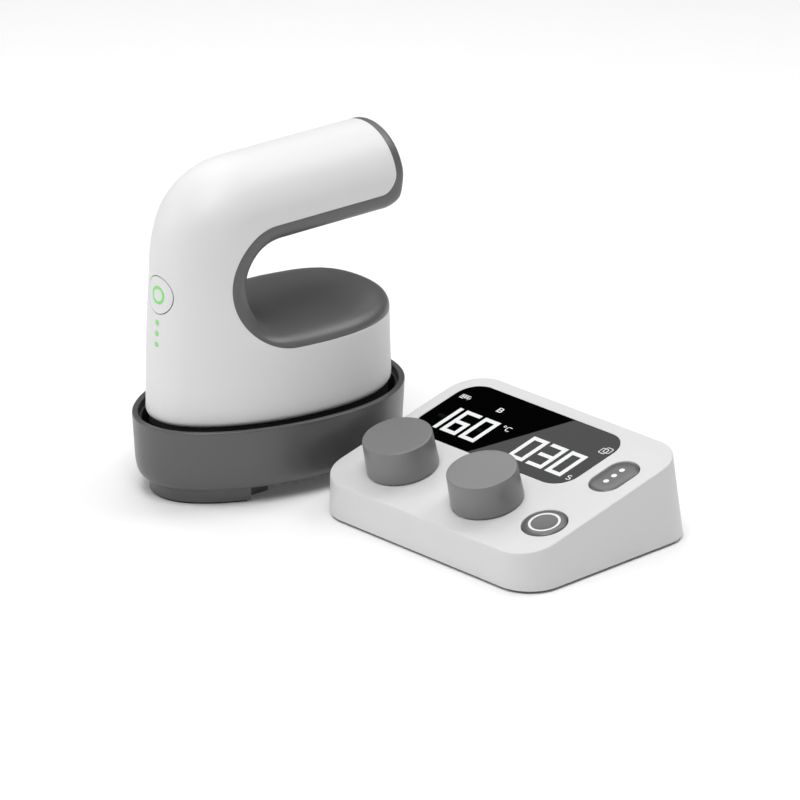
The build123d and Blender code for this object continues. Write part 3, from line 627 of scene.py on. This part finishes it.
def make_grip():
    """The grey moulding: deck, throat, underside of the handle and end cap."""
    K = 44
    tau = np.linspace(0, 1, K + 1)
    rho = tau ** 1.7
    _, out = cut_at(section(DECK), SPLIT)
    outline = resample(out, MC + 1)
    dense = resample(out, 1500)
    left, _ = cut_at(section(DECK), SPLIT)
    dense = np.concatenate([left, dense])

    def dist(P):
        return np.array([np.sqrt(((dense - p) ** 2).sum(1)).min() for p in P])
    med = np.stack([np.linspace(-3.0, 28.0, MC + 1), np.zeros(MC + 1)], 1)
    S = Surf()
    deck = []
    for u in range(MC + 1):
        P = outline[u] * (1 - rho[:, None]) + med[u] * rho[:, None]
        z = DECK + deck_height(P[:, 0], dist(P))
        z[0] = DECK
        deck.append(np.concatenate([P, z[:, None]], 1))
    deck = np.array(deck)
    first_hz = (deck[0, :, 2] - DECK) / (deck[0, -1, 2] - DECK)
    rows = []

    def superell(n):
        a = tau * math.pi / 2
        return np.cos(a).clip(0) ** (2 / n), np.sin(a) ** (2 / n)
    zb = deck[0, -1, 2]
    for p, bz, bx in zip(PSI, THROAT_Z, THROAT_X):
        up = 127.15 - TVC[1]
        dn = TVC[1] - zb
        mx = TVC[0] - TVR * math.cos(p) ** TVE if p < math.pi / 2 else TVC[0]
        mz = TVC[1] + (up if p > 0 else dn) * math.copysign(abs(math.sin(p)) ** TVE, p)
        n = NT0 + (3.2 - NT0) * smooth(math.degrees(p) / 90)
        eta, h = superell(n)
        k = smooth((math.degrees(p) + 90) / 62.0)
        et = (1 - k) * (1 - rho) + k * eta
        hx = (1 - k) * rho + k * h
        hz = (1 - k) * first_hz + k * h
        x, z = bx + (mx - bx) * hx, bz + (mz - bz) * hz
        y = np.array([half_width(a, max(b, DECK)) for a, b in zip(x, z)])
        if k < 1:
            y0 = half_width(bx, max(bz, DECK))
            y = (1 - k) * y0 + k * y
        rows.append(np.stack([x, y * et, z], 1))
    rows[0] = deck[0].copy()
    etab, hb = superell(3.2)
    for j, xb in enumerate(np.linspace(SPLIT, 55.45, HC + 1)[1:], 1):
        f = j / HC
        xm = TVC[0] + (61.0 - TVC[0]) * f
        x, z = xb + (xm - xb) * hb, 137.8 + (127.15 - 137.8) * hb
        y = np.array([half_width(a, b) for a, b in zip(x, z)])
        rows.append(np.stack([x, y * etab, z], 1))
    # corner and end face: a straight strip, a small rounding, then the face
    t1, t2 = 0.14, 0.42

    def end_row(bx, bz, mx, mz, kx, kz, q):
        s0 = 0.5 * kx
        w = half_width(60, bz)
        r = 2.4 / max(w, 8.0)
        v = np.clip((tau - t1) / (1 - t1), 0, 1)
        c = (t2 - t1) / (1 - t1)
        e_end = np.where(v < c, 1 - r * (1 - np.cos(np.minimum(v / c, 1) * math.pi / 2)), (1 - r) * (1 - (v - c) / (1 - c)))
        e_bot = np.cos(v * math.pi / 2).clip(0) ** (2 / 3.2)
        et = (1 - q) * np.where(tau < t1, 1.0, e_bot) + q * np.where(tau < t1, 1.0, e_end)
        h_b = (1 - et ** 3.2).clip(0) ** (1 / 3.2)
        dlt = np.clip((1 - et) / r, 0, 1)
        h_e = np.sqrt(1 - (1 - dlt) ** 2)
        hx = s0 + (1 - s0) * ((1 - kx) * h_b + kx * h_e)
        hx = np.where(tau < t1, s0 * tau / t1, hx)
        hz = (1 - kz) * h_b + kz * (1 - et)
        x, z = bx + (mx - bx) * hx, bz + (mz - bz) * hz
        return x, z, et
    for p, (bx, bz) in list(zip(PS2, CORNER))[1:]:
        mx, mz = 61.0 + (end_face(137.6) - 61.0) * math.sin(p), 137.6 - 10.45 * math.cos(p)
        deg = math.degrees(p)
        x, z, et = end_row(bx, bz, mx, mz, smooth((deg - 6) / 44), smooth((deg - 40) / 50), smooth(deg / 60))
        x = bx + (x - bx) * (61.0 + (end_face(z) - 61.0) * math.sin(p) - bx) / (mx - bx)
        y = np.array([half_width(min(a, 65), b) for a, b in zip(x, z)])
        rows.append(np.stack([x, y * et, z], 1))
    for i, bz in enumerate(END_Z[1:], 1):
        f = i / (len(END_Z) - 1)
        mz = 137.6 + 13.2 * smooth(f)
        yb = half_width(60, bz) if bz < CROWN - 1e-6 else 0.0
        size = math.hypot(yb, mz - bz)
        bx = end_edge(bz)
        x, z, et = end_row(bx, bz, 0.0, mz, 1.0, 1.0, 1.0)
        r_e = 2.4 / size
        v = np.clip((tau - t1) / (1 - t1), 0, 1)
        c = (t2 - t1) / (1 - t1)
        rr = np.where(v < c, r_e * (1 - np.cos(np.minimum(v / c, 1) * math.pi / 2)), r_e + (1 - r_e) * (v - c) / (1 - c))
        hh = np.where(v < c, np.sin(np.minimum(v / c, 1) * math.pi / 2), 1.0)
        z = bz + (mz - bz) * rr
        face = end_face(z)
        x = bx + (face - bx) * np.where(tau < t1, 0.5 * tau / t1, 0.5 + 0.5 * hh)
        rows.append(np.stack([x, yb * (1 - rr), z], 1))
    S.grid(deck)
    S.grid(np.array(rows), flip=True)
    V, F = S.arrays(mirror_y=True)
    return thicken(V, F, 2.0, 0.22, 3)

# ---------------------------------------------------------------- rest tray
def oval_ring(inset, z, n=160):
    t = np.linspace(0, 2 * math.pi, n, endpoint=False)
    x, y = rim_xy(t, inset)
    return np.stack([x, y, np.full(n, z)], 1)


def arc2(c, r, a0, a1, n):
    """(inset, z) points round a centre; angle 0 points outwards."""
    return [(c[0] - r * math.cos(math.radians(a)), c[1] + r * math.sin(math.radians(a))) for a in np.linspace(a0, a1, n)]


def sweep_oval(profile, n=160, closed=False, cap0=None, cap1=None):
    S = Surf()
    rings = [S.add(oval_ring(i, z, n)) for i, z in profile]
    pairs = list(zip(rings[:-1], rings[1:])) + ([(rings[-1], rings[0])] if closed else [])
    for a, b in pairs:
        S.bridge(a, b)
    for end, cap in ((0, cap0), (-1, cap1)):
        if cap:
            base = oval_ring(*profile[end], n)
            prev = rings[end]
            for k in (0.8, 0.6, 0.4, 0.2):
                P = base.copy()
                P[:, :2] *= k
                r = S.add(P)
                S.bridge(r, prev) if end == 0 else S.bridge(prev, r)
                prev = r
            S.fan(list(prev), (0, 0, profile[end][1]), flip=(end == 0))
    return weld(np.concatenate(S.v), S.f)


def make_tray():
    prof = [(9.0, 7.72), (8.0, 7.72)]
    prof += [(6.6, 8.0), (5.2, 8.55), (4.1, 9.3), (3.2, 10.3), (2.5, 11.5), (2.0, 13.0), (1.65, 14.7), (1.4, 16.6), (1.2, 19.0)]
    prof += [(1.2 - 1.15 * (z - 19.0) / 21.0, z) for z in (22, 26, 30, 34, 37, 39, 40.0)]
    prof += arc2((0.75, 40.28), 0.7, 0, 90, 6)
    prof += [(1.5, 40.985), (2.3, 40.985)]
    prof += arc2((2.45, 40.28), -0.7, -90, 0, 6)[::1]
    prof += [(3.2, 39.5), (3.4, 37.5), (3.5, 30), (4.4, 20), (4.7, 16.5), (5.2, 14.0), (6.0, 12.0), (7.0, 10.75), (9.0, 10.7)]
    return sweep_oval(prof, 176, cap0=True, cap1=True)

# --------------------------------------------------------------- controller
SN, CS = 0.2283387, 0.9735818
CT_A = math.radians(3.24)
CT_C, CT_S = math.cos(CT_A), math.sin(CT_A)


def ct_world(P):
    """Controller frame to row frame, mm."""
    P = np.asarray(P, float)
    x = P[..., 0] * CT_C - P[..., 1] * CT_S - 20.33 + SX
    y = P[..., 0] * CT_S + P[..., 1] * CT_C - 63.65 + SY
    return np.stack([x, y, P[..., 2]], -1)


def panel(U):
    """(u, v, h) on the sloping panel to row frame, mm."""
    U = np.asarray(U, float)
    u, v, h = U[..., 0], U[..., 1], U[..., 2]
    return ct_world(np.stack([v * CS - h * SN, -u, 19.5 + v * SN + h * CS], -1))


def ct_piece(name, V, F, mat, body, replaces=(), sharp=35.0):
    return mesh_object(name, V, F, mat, body, replaces, sharp, MM, (0.0, 0.0, 0.0))


def rrect(u0, u1, v0, v1, r, n=14):
    """Rounded rectangle as 4 * (n + 1) points, anticlockwise."""
    out = []
    for cu, cv, a0 in ((u1 - r, v1 - r, 0), (u0 + r, v1 - r, 90), (u0 + r, v0 + r, 180), (u1 - r, v0 + r, 270)):
        for k in range(n + 1):
            a = math.radians(a0 + 90 * k / n)
            out.append((cu + r * math.cos(a), cv + r * math.sin(a)))
    return np.array(out)


def rings_solid(rings, S=None, close_ends=True):
    """Joins rings of equal count into a closed solid; the first ring is the top."""
    own = S is None
    S = S or Surf()
    idx = [S.add(r) for r in rings]
    for a, b in zip(idx[:-1], idx[1:]):
        S.bridge(b, a)
    if close_ends:
        S.f.append(tuple(idx[0]))
        S.f.append(tuple(idx[-1][::-1]))
    if own:
        return np.concatenate(S.v), list(S.f)
    return idx


def lathe_uv(profile, u, v, n=96):
    """Turned part about the panel's normal; profile is (r, h) from the top centre to the bottom centre."""
    S = Surf()
    t = np.linspace(0, 2 * math.pi, n, endpoint=False)
    prev, first = None, None
    for k, (r, h) in enumerate(profile):
        if r < 1e-6:
            continue
        ring = S.add(panel(np.stack([u + r * np.cos(t), v + r * np.sin(t), np.full(n, h)], 1)))
        if prev is None:
            first = ring
            if profile[0][0] < 1e-6:
                S.fan(list(ring), panel((u, v, profile[0][1])))
        else:
            S.bridge(ring, prev)
        prev = ring
    if profile[-1][0] < 1e-6:
        S.fan(list(prev), panel((u, v, profile[-1][1])), flip=True)
    elif profile[0][0] > 1e-6:
        S.bridge(first, prev)
    return np.concatenate(S.v), S.f


def stadium_uv(profile, u, v, w, l, n=20):
    """Pill-shaped part: half width w, half length l; profile is (inset, h), top first."""
    rings = []
    for s, h in profile:
        r = w - s
        R = rrect(u - r, u + r, v - (l - s), v + (l - s), r - 1e-4, n)
        rings.append(panel(np.concatenate([R, np.full((len(R), 1), h)], 1)))
    return rings_solid(rings)


def prism_uv(polys, h0, h1):
    S = Surf()
    for p in polys:
        p = np.array(p, float)
        if ((p[:, 0] * np.roll(p[:, 1], -1)) - (np.roll(p[:, 0], -1) * p[:, 1])).sum() < 0:
            p = p[::-1]
        top = panel(np.concatenate([p, np.full((len(p), 1), h1)], 1))
        bot = panel(np.concatenate([p, np.full((len(p), 1), h0)], 1))
        rings_solid([top, bot], S)
    return np.concatenate(S.v), S.f


def joined(*parts):
    V, F, n = [], [], 0
    for v, f in parts:
        V.append(v)
        F += [tuple(i + n for i in q) for q in f]
        n += len(v)
    return np.concatenate(V), F


def cut(obj, cutters, sharp=24.0):
    """Takes closed meshes out of obj, then removes the cutters."""
    for c in cutters:
        m = obj.modifiers.new("cut", "BOOLEAN")
        m.operation, m.solver, m.object = "DIFFERENCE", "EXACT", c
    dg = bpy.context.evaluated_depsgraph_get()
    me = bpy.data.meshes.new_from_object(obj.evaluated_get(dg))
    obj.modifiers.clear()
    obj.data = me
    for c in cutters:
        bpy.data.objects.remove(c, do_unlink=True)
    bm = bmesh.new()
    bm.from_mesh(me)
    bmesh.ops.remove_doubles(bm, verts=bm.verts, dist=2e-6)
    bmesh.ops.dissolve_degenerate(bm, edges=bm.edges, dist=1e-6)
    for f in bm.faces:
        f.smooth = True
    for e in bm.edges:
        e.smooth = not (len(e.link_faces) == 2 and e.calc_face_angle(0.0) > math.radians(sharp))
    bmesh.ops.triangulate(bm, faces=[f for f in bm.faces if len(f.verts) > 4])
    bm.to_mesh(me)
    bm.free()
    return obj


def raw_object(V, F):
    me = bpy.data.meshes.new("cutter")
    me.from_pydata((np.asarray(V) * MM).tolist(), [], [tuple(int(i) for i in f) for f in F])
    me.update()
    bm = bmesh.new()
    bm.from_mesh(me)
    bmesh.ops.recalc_face_normals(bm, faces=bm.faces)
    bm.to_mesh(me)
    bm.free()
    o = bpy.data.objects.new("cutter", me)
    scene.collection.objects.link(o)
    return o


PANEL_L = 112.9876
START_UV, MODE_UV, KNOB_US, KNOB_V = (132.6, 29.1), (133.0, 77.5), (34.0, 93.5), 29.0
DU, DV, DW, DH, DR = 62.6, 80.4, 109.9, 49.5, 12.5


def floor_ring(i, z, n=22):
    R = rrect(1.0 + i, 152.0 - i, -1.1 + i, 116.0 - i, 19.0 - i, n)
    return ct_world(np.stack([R[:, 1], -R[:, 0], np.full(len(R), z)], 1))


def panel_ring(i, h, n=22):
    R = rrect(i, 150 - i, i, PANEL_L - i, 19.0 - i, n)
    return panel(np.concatenate([R, np.full((len(R), 1), h)], 1))


def bezier(A, T, C, steps):
    return [(1 - t) ** 2 * A + 2 * t * (1 - t) * T + t * t * C for t in np.linspace(0, 1, steps + 1)]


def make_housing(mat):
    T, B = panel_ring(0, 0), floor_ring(0, 1.4)
    d = (T - B) / np.linalg.norm(T - B, axis=1)[:, None]
    rings = bezier(panel_ring(0.75, 0), T, T - 0.75 * d, 5)
    L = np.linalg.norm(T - B, axis=1)[:, None]
    for k in (0.25, 0.5, 0.75):
        rings.append(T - d * (0.75 + k * (L - 1.25)))
    rings += bezier(B + 0.5 * d, B, floor_ring(0.5, 1.4), 3)
    inner = [floor_ring(2.5, 1.4), panel_ring(2.5, -2.5)]
    V, F = rings_solid(rings + inner)
    o = ct_piece("controller_case", V, F, mat, "controller", ("controller_housing",), sharp=24)
    cutters = []
    box = rrect(DU - DW / 2 - 0.3, DU + DW / 2 + 0.3, DV - DH / 2 - 0.3, DV + DH / 2 + 0.3, DR + 0.3, 14)
    cutters.append(raw_object(*prism_uv([box], -1.5, 3)))
    cutters.append(raw_object(*prism_uv([rrect(DU - 50, DU + 50, DV - 20.5, DV + 20.5, 3, 4)], -6, -0.7)))
    for u in KNOB_US:
        cutters.append(raw_object(*lathe_uv([(0, 3), (3.8, 3), (3.8, -6), (0, -6)], u, KNOB_V, 48)))
    flare = [(0.47, 3.0), (0.45, 0.0), (0.29, -0.03), (0.14, -0.12), (0.04, -0.26), (0.0, -0.45), (0.0, -6.0)]
    cutters.append(raw_object(*lathe_uv([(0, 3.0)] + [(11.6 + a, h) for a, h in flare] + [(0, -6.0)], *START_UV, 96)))
    cutters.append(raw_object(*stadium_uv([(-a, h) for a, h in flare], *MODE_UV, 8.8, 14.4, 20)))
    R = rrect(-4.8, 4.8, -1.95, 1.95, 1.94, 8)
    S = [ct_world(np.stack([np.full(len(R), x), -75.0 - R[:, 0], 16 + R[:, 1]], 1)) for x in (106.0, 121.0)]
    cutters.append(raw_object(*rings_solid(S)))
    return cut(o, cutters)


def make_knob(u):
    prof = [(0, 17.86), (6, 17.88), (12, 17.93), (16.3, 18.0), (16.95, 18.0), (17.22, 17.95), (17.43, 17.8), (17.55, 17.58), (17.62, 17.25), (17.75, 13.0), (17.95, 8.0), (18.16, 1.6), (18.17, 1.1), (18.08, 0.75), (17.85, 0.55), (17.4, 0.5), (15.9, 0.5), (15.7, 1.0), (15.6, 15.6), (6.2, 15.6), (6.2, 4.7), (3.05, 4.7), (3.05, 15.4), (0, 15.4)]
    return lathe_uv(prof, u, KNOB_V, 144)


def make_start():
    prof = [(0, 0.36), (2.5, 0.37), (4.8, 0.42), (6.2, 0.5), (6.66, 0.53), (6.72, 0.12), (8.08, 0.12), (8.14, 0.55), (8.8, 0.55), (9.5, 0.48), (10.1, 0.33), (10.6, 0.1), (10.95, -0.2), (11.14, -0.55), (11.2, -0.95), (11.2, -3.7), (9.6, -3.7), (9.6, -1.7), (2.2, -1.7), (2.2, -7.4), (0, -7.4)]
    return lathe_uv(prof, *START_UV, 120)


def make_start_ring():
    prof = [(6.76, 0.14), (6.76, 0.5), (6.84, 0.58), (7.96, 0.6), (8.04, 0.52), (8.04, 0.14)]
    return lathe_uv(prof, *START_UV, 120)


MODE_PROF = [(6.3, 0.4), (5.0, 0.39), (3.6, 0.34), (2.4, 0.22), (1.5, 0.04), (0.85, -0.2), (0.4, -0.5), (0.1, -0.85), (0.0, -1.25), (0.0, -3.7), (1.6, -3.7), (1.6, -1.7)]


def make_mode():
    a = stadium_uv(MODE_PROF, *MODE_UV, 8.4, 14.0, 20)
    b = lathe_uv([(0, -1.2), (2.2, -1.2), (2.2, -7.4), (0, -7.4)], *MODE_UV, 40)
    return joined(a, b)


def make_dots():
    return joined(*[lathe_uv([(0, 0.47), (0.9, 0.46), (1.35, 0.44), (1.55, 0.38), (1.6, 0.28), (1.6, -0.1), (0, -0.1)], MODE_UV[0], MODE_UV[1] + 5.62 * k, 48) for k in (-1, 0, 1)])


def stroke(pts, w, closed=False):
    """Quads along a line of points, mitred at the bends."""
    P = np.array(pts, float)
    n = len(P)
    left, right = [], []
    for i in range(n):
        a = P[i - 1] if (i > 0 or closed) else None
        b = P[(i + 1) % n] if (i < n - 1 or closed) else None
        da = None if a is None else (P[i] - a) / np.linalg.norm(P[i] - a)
        db = None if b is None else (b - P[i]) / np.linalg.norm(b - P[i])
        if da is None or db is None:
            d = db if da is None else da
            m = np.array([-d[1], d[0]]) * w / 2
        else:
            na, nb = np.array([-da[1], da[0]]), np.array([-db[1], db[0]])
            m = (na + nb) / max(0.35, 1 + na @ nb) * w / 2
        left.append(P[i] + m)
        right.append(P[i] - m)
    out = []
    for i in range(n if closed else n - 1):
        j = (i + 1) % n
        out.append([left[i], left[j], right[j], right[i]])
    return out


CELL_W, CELL_H, STROKE = 10.85, 20.3, 2.6
ON = {"0": "abcdef", "1": "bc", "3": "abcdg", "6": "acdefg"}


def segments(which, u, v):
    """Bars of a seven-part digit whose lower left corner is at (u, v)."""
    W, H, t = CELL_W, CELL_H, STROKE
    m = H / 2
    low = (0 if "d" not in which else t, m - t / 2 if "g" in which else m)
    top = (m + t / 2 if "g" in which else m, H if "a" not in which else H - t)
    bars = {
        "a": (0, W, H - t, H), "d": (0, W, 0, t), "g": (0, W, m - t / 2, m + t / 2),
        "b": (W - t, W, *top), "c": (W - t, W, *low), "e": (0, t, *low), "f": (0, t, *top),
    }
    out = []
    for k in which:
        a, b, c, d = bars[k]
        out.append([(u + a, v + c), (u + b, v + c), (u + b, v + d), (u + a, v + d)])
    return out


DIGITS = [("1", 11.35), ("6", 24.6), ("0", 37.75), ("0", 72.0), ("3", 85.2), ("0", 98.45)]
SIGN_U = 0.7
DIG_V = 63.3


def arc_pts(c, r, a0, a1, n=10, k=1.0):
    return [(c[0] + r * math.cos(math.radians(a)), c[1] + k * r * math.sin(math.radians(a))) for a in np.linspace(a0, a1, n)]


def make_digits():
    polys = []
    for d, u in DIGITS:
        polys += segments(ON[d], u + 0.2, DIG_V)
    return prism_uv(polys, -0.02, 0.05)


def make_unlit():
    polys = []
    for d, u in DIGITS:
        if "g" not in ON[d]:
            for p in segments("g", u, DIG_V):
                c = np.mean(p, 0)
                polys.append([c + (np.array(q) - c) * (0.5, 1.0) for q in p])
    return prism_uv(polys, -0.02, 0.02)


def make_signs():
    q = []
    # battery: outline, three bars, nub
    q += stroke([(11.0, 90.6), (16.5, 90.6), (16.5, 93.7), (11.0, 93.7)], 0.42, True)
    for u in (11.75, 13.3, 14.85):
        q += [[(u, 91.2), (u + 0.95, 91.2), (u + 0.95, 93.1), (u, 93.1)]]
    q += [[(16.85, 91.5), (17.35, 91.5), (17.35, 92.8), (16.85, 92.8)]]
    # letter B
    q += stroke([(37.5, 90.3), (37.5, 94.2)], 0.8)
    q += stroke([(37.4, 93.85), (39.2, 93.85)] + arc_pts((39.2, 93.1), 0.75, 75, -75, 6) + [(37.9, 92.35)], 0.62)
    q += stroke([(37.9, 92.25), (39.4, 92.25)] + arc_pts((39.4, 91.45), 0.8, 75, -75, 6) + [(37.4, 90.65)], 0.62)
    # degree sign and C
    q += stroke(arc_pts((51.9, 82.5), 0.62, 0, 360, 13)[:-1], 0.36, True)
    q += stroke([(56.6, 82.9)] + arc_pts((55.0, 82.05), 1.05, 60, 180, 6) + arc_pts((55.0, 80.75), 1.05, 180, 300, 6) + [(56.6, 79.9)], 0.5)
    # letter S
    q += stroke(arc_pts((113.4, 65.95), 0.85, 25, 90, 4, 0.85) + arc_pts((113.1, 65.9), 0.8, 90, 270, 8, 0.98) + arc_pts((113.9, 64.25), 0.82, 90, -90, 8, 1.0) + arc_pts((113.4, 64.25), 0.9, -90, -150, 4, 1.0), 0.55)
    # two overlapping rounded frames
    for cu, cv in ((111.55, 91.6), (113.25, 93.0)):
        q += stroke([tuple(p) for p in rrect(cu - 1.95, cu + 1.95, cv - 2.1, cv + 2.1, 0.8, 3)], 0.42, True)
    q = [[(a + SIGN_U, b) for a, b in p] for p in q]
    return prism_uv(q, -0.02, 0.05)

# --------------------------------------- power button and lights on the nose
PB_Z = 107.4


def nose_point(r, a, zc, out):
    """A point of the nose's surface at polar (r, a) about (0, zc), moved out."""
    y, z = r * math.cos(a), zc + r * math.sin(a)
    x = surf_x(abs(y), z)
    e = 0.4
    n = np.array([-1.0, -(surf_x(abs(y) + e, z) - surf_x(max(0.0, abs(y) - e), z)) / (e + min(e, abs(y))) * -math.copysign(1, y), (surf_x(abs(y), z + e) - surf_x(abs(y), z - e)) / (2 * e)])
    n /= np.linalg.norm(n)
    return np.array([x, y, z]) + n * out


def nose_disc(profile, zc, n, hole=False):
    """Closed cap that follows the nose; profile is (r, out) from the middle of its front round to its back."""
    S = Surf()
    t = np.linspace(0, 2 * math.pi, n, endpoint=False)
    first = prev = None
    for r, out in profile:
        ring = S.add(np.array([nose_point(r, a, zc, out) for a in t]))
        if prev is None:
            first = ring
            if not hole:
                S.fan(list(ring), nose_point(1e-6, 0, zc, out))
        else:
            S.bridge(ring, prev)
        prev = ring
    if hole:
        S.bridge(first, prev)
    else:
        S.fan(list(prev), nose_point(1e-6, 0, zc, profile[-1][1]), flip=True)
    return np.concatenate(S.v), S.f


def make_power_button():
    g = 0.18
    prof = [(1.1, 0), (2.2, 0), (3.13, 0), (3.15, -g), (4.7, -g), (4.72, 0), (6.0, 0), (7.4, 0), (8.6, 0), (9.15, -0.01), (9.33, -0.06), (9.4, -0.2), (9.38, -0.4), (9.0, -2.2), (8.2, -2.3), (5.0, -2.3), (1.2, -2.3)]
    return nose_disc(prof, PB_Z, 96)


def make_power_ring():
    return nose_disc([(3.18, -0.16), (3.18, -0.04), (3.24, 0.0), (4.61, 0.0), (4.67, -0.04), (4.67, -0.16)], PB_Z, 96, hole=True)


def make_lights():
    return joined(*[nose_disc([(0.5, 0.05), (1.0, 0.04), (1.24, 0.0), (1.34, -0.1), (1.34, -2.6), (0.5, -2.6)], z, 40) for z in (93.1, 87.3, 81.7)])


GLAND_Z = 148.0


def lathe_x(profile, y, z, n=64):
    """Turned part about an axis along X, in the row frame; profile is (x, r) from back to front."""
    S = Surf()
    t = np.linspace(0, 2 * math.pi, n, endpoint=False)
    prev = first = None
    for x, r in profile:
        if r < 1e-6:
            continue
        ring = S.add(np.stack([np.full(n, x), y + r * np.cos(t), z + r * np.sin(t)], 1) + (SX, SY, 0))
        if prev is None:
            first = ring
            if profile[0][1] < 1e-6:
                S.fan(list(ring), np.array([profile[0][0] + SX, y + SY, z]), flip=True)
        else:
            S.bridge(prev, ring)
        prev = ring
    if profile[-1][1] < 1e-6:
        S.fan(list(prev), np.array([profile[-1][0] + SX, y + SY, z]))
    elif profile[0][1] > 1e-6:
        S.bridge(prev, first)
    return np.concatenate(S.v), S.f


def make_gland():
    prof = [(62.0, 3.6), (62.0, 6.0), (64.6, 6.0), (70.8, 6.0), (71.2, 5.9), (71.4, 5.6), (71.45, 5.2), (71.4, 4.3), (71.2, 3.9), (70.7, 3.65), (69.5, 3.6)]
    V, F = lathe_x(prof, 0.0, GLAND_Z, 64)
    return V - (SX, SY, 0), F

def card_light(dist=1.25, along=0.9, across=0.75, watts=3.6):
    """Soft panel behind the set; its straight edge shows as a diagonal in the display's glass."""
    n = panel((0, 0, 1)) - panel((0, 0, 0))
    eye = np.array(cam.location) / MM

    def mirror(u, v):
        p = panel((u, v, 0.0))
        d = p - eye
        d = d / np.linalg.norm(d)
        return p, d - 2 * (d @ n) * n
    p0, r0 = mirror(62.6, 80.4)
    mid = p0 + r0 * dist / MM

    def hit(u, v):
        p, r = mirror(u, v)
        return p + r * (((mid - p) @ r0) / (r @ r0))
    a, b, c = hit(79.0, 104.4), hit(55.1, 60.2), hit(110.0, 75.0)
    e = (b - a) / np.linalg.norm(b - a)
    f = (c - a) - ((c - a) @ e) * e
    f /= np.linalg.norm(f)
    centre = (a + b) / 2 + f * across / MM / 2
    d = bpy.data.lights.new("card", "AREA")
    d.shape, d.size, d.size_y, d.energy = "RECTANGLE", along, across, watts
    o = bpy.data.objects.new("card", d)
    scene.collection.objects.link(o)
    z = -r0 * -1.0
    x, y = e, f
    if np.dot(np.cross(x, y), z) < 0:
        x = -x
    M3 = Matrix(((x[0], y[0], z[0]), (x[1], y[1], z[1]), (x[2], y[2], z[2])))
    o.matrix_world = Matrix.Translation(Vector(centre * MM)) @ M3.to_4x4()
    return o


card_light()

# ------------------------------------------------------------------- pieces
V, F = make_shell()
mesh_object("press_white_shell", V, F, M["shell_white"], "press", ("press_shell",), sharp=40)
V, F = make_grip()
grip = mesh_object("press_grey_moulding", V, F, M["grip_grey"], "press", ("grip_trim", "deck_cover"), sharp=40)
cut(grip, [raw_object(*lathe_x([(60.0, 0), (60.0, 6.06), (76.0, 6.06), (76.0, 0)], 0.0, GLAND_Z, 64))], sharp=40)
V, F = make_gland()
mesh_object("cord_gland_ring", V, F, M["grip_grey"], "press", ("cord_gland",), sharp=40)
V, F = make_tray()
mesh_object("rest_tray_bowl", V, F, M["tray_grey"], "root", ("tray_shell",), sharp=40)
V, F = make_power_button()
mesh_object("power_button_cap", V, F, M["shell_white"], "power_button_body", ("power_button",), sharp=40)
V, F = make_power_ring()
mesh_object("power_ring_light", V, F, M["light_green"], "power_button_body", ("power_light_ring",), sharp=40)
V, F = make_lights()
mesh_object("progress_light_caps", V, F, M["light_green"], "press", ("progress_lights",), sharp=40)
make_housing(M["controller_white"])
for who, u in (("temperature", KNOB_US[0]), ("time", KNOB_US[1])):
    V, F = make_knob(u)
    ct_piece(who + "_dial", V, F, M["knob_grey"], who + "_knob_body", (who + "_knob",), sharp=40)
V, F = make_start()
ct_piece("start_button_cap", V, F, M["button_grey"], "start_button_body", ("start_button",), sharp=50)
V, F = make_start_ring()
ct_piece("start_ring_light", V, F, M["icon_white"], "start_button_body", ("start_button_ring",), sharp=50)
V, F = make_mode()
ct_piece("mode_button_cap", V, F, M["button_grey"], "mode_button_body", ("mode_button",), sharp=50)
V, F = make_dots()
ct_piece("mode_dot_lights", V, F, M["icon_white"], "mode_button_body", ("mode_button_dots",), sharp=50)
V, F = make_digits()
ct_piece("display_digits", V, F, M["display_lit"], "controller", ())
V, F = make_unlit()
ct_piece("display_unlit_bars", V, F, M["display_unlit"], "controller", ())
V, F = make_signs()
ct_piece("display_signs", V, F, M["display_lit"], "controller", ())
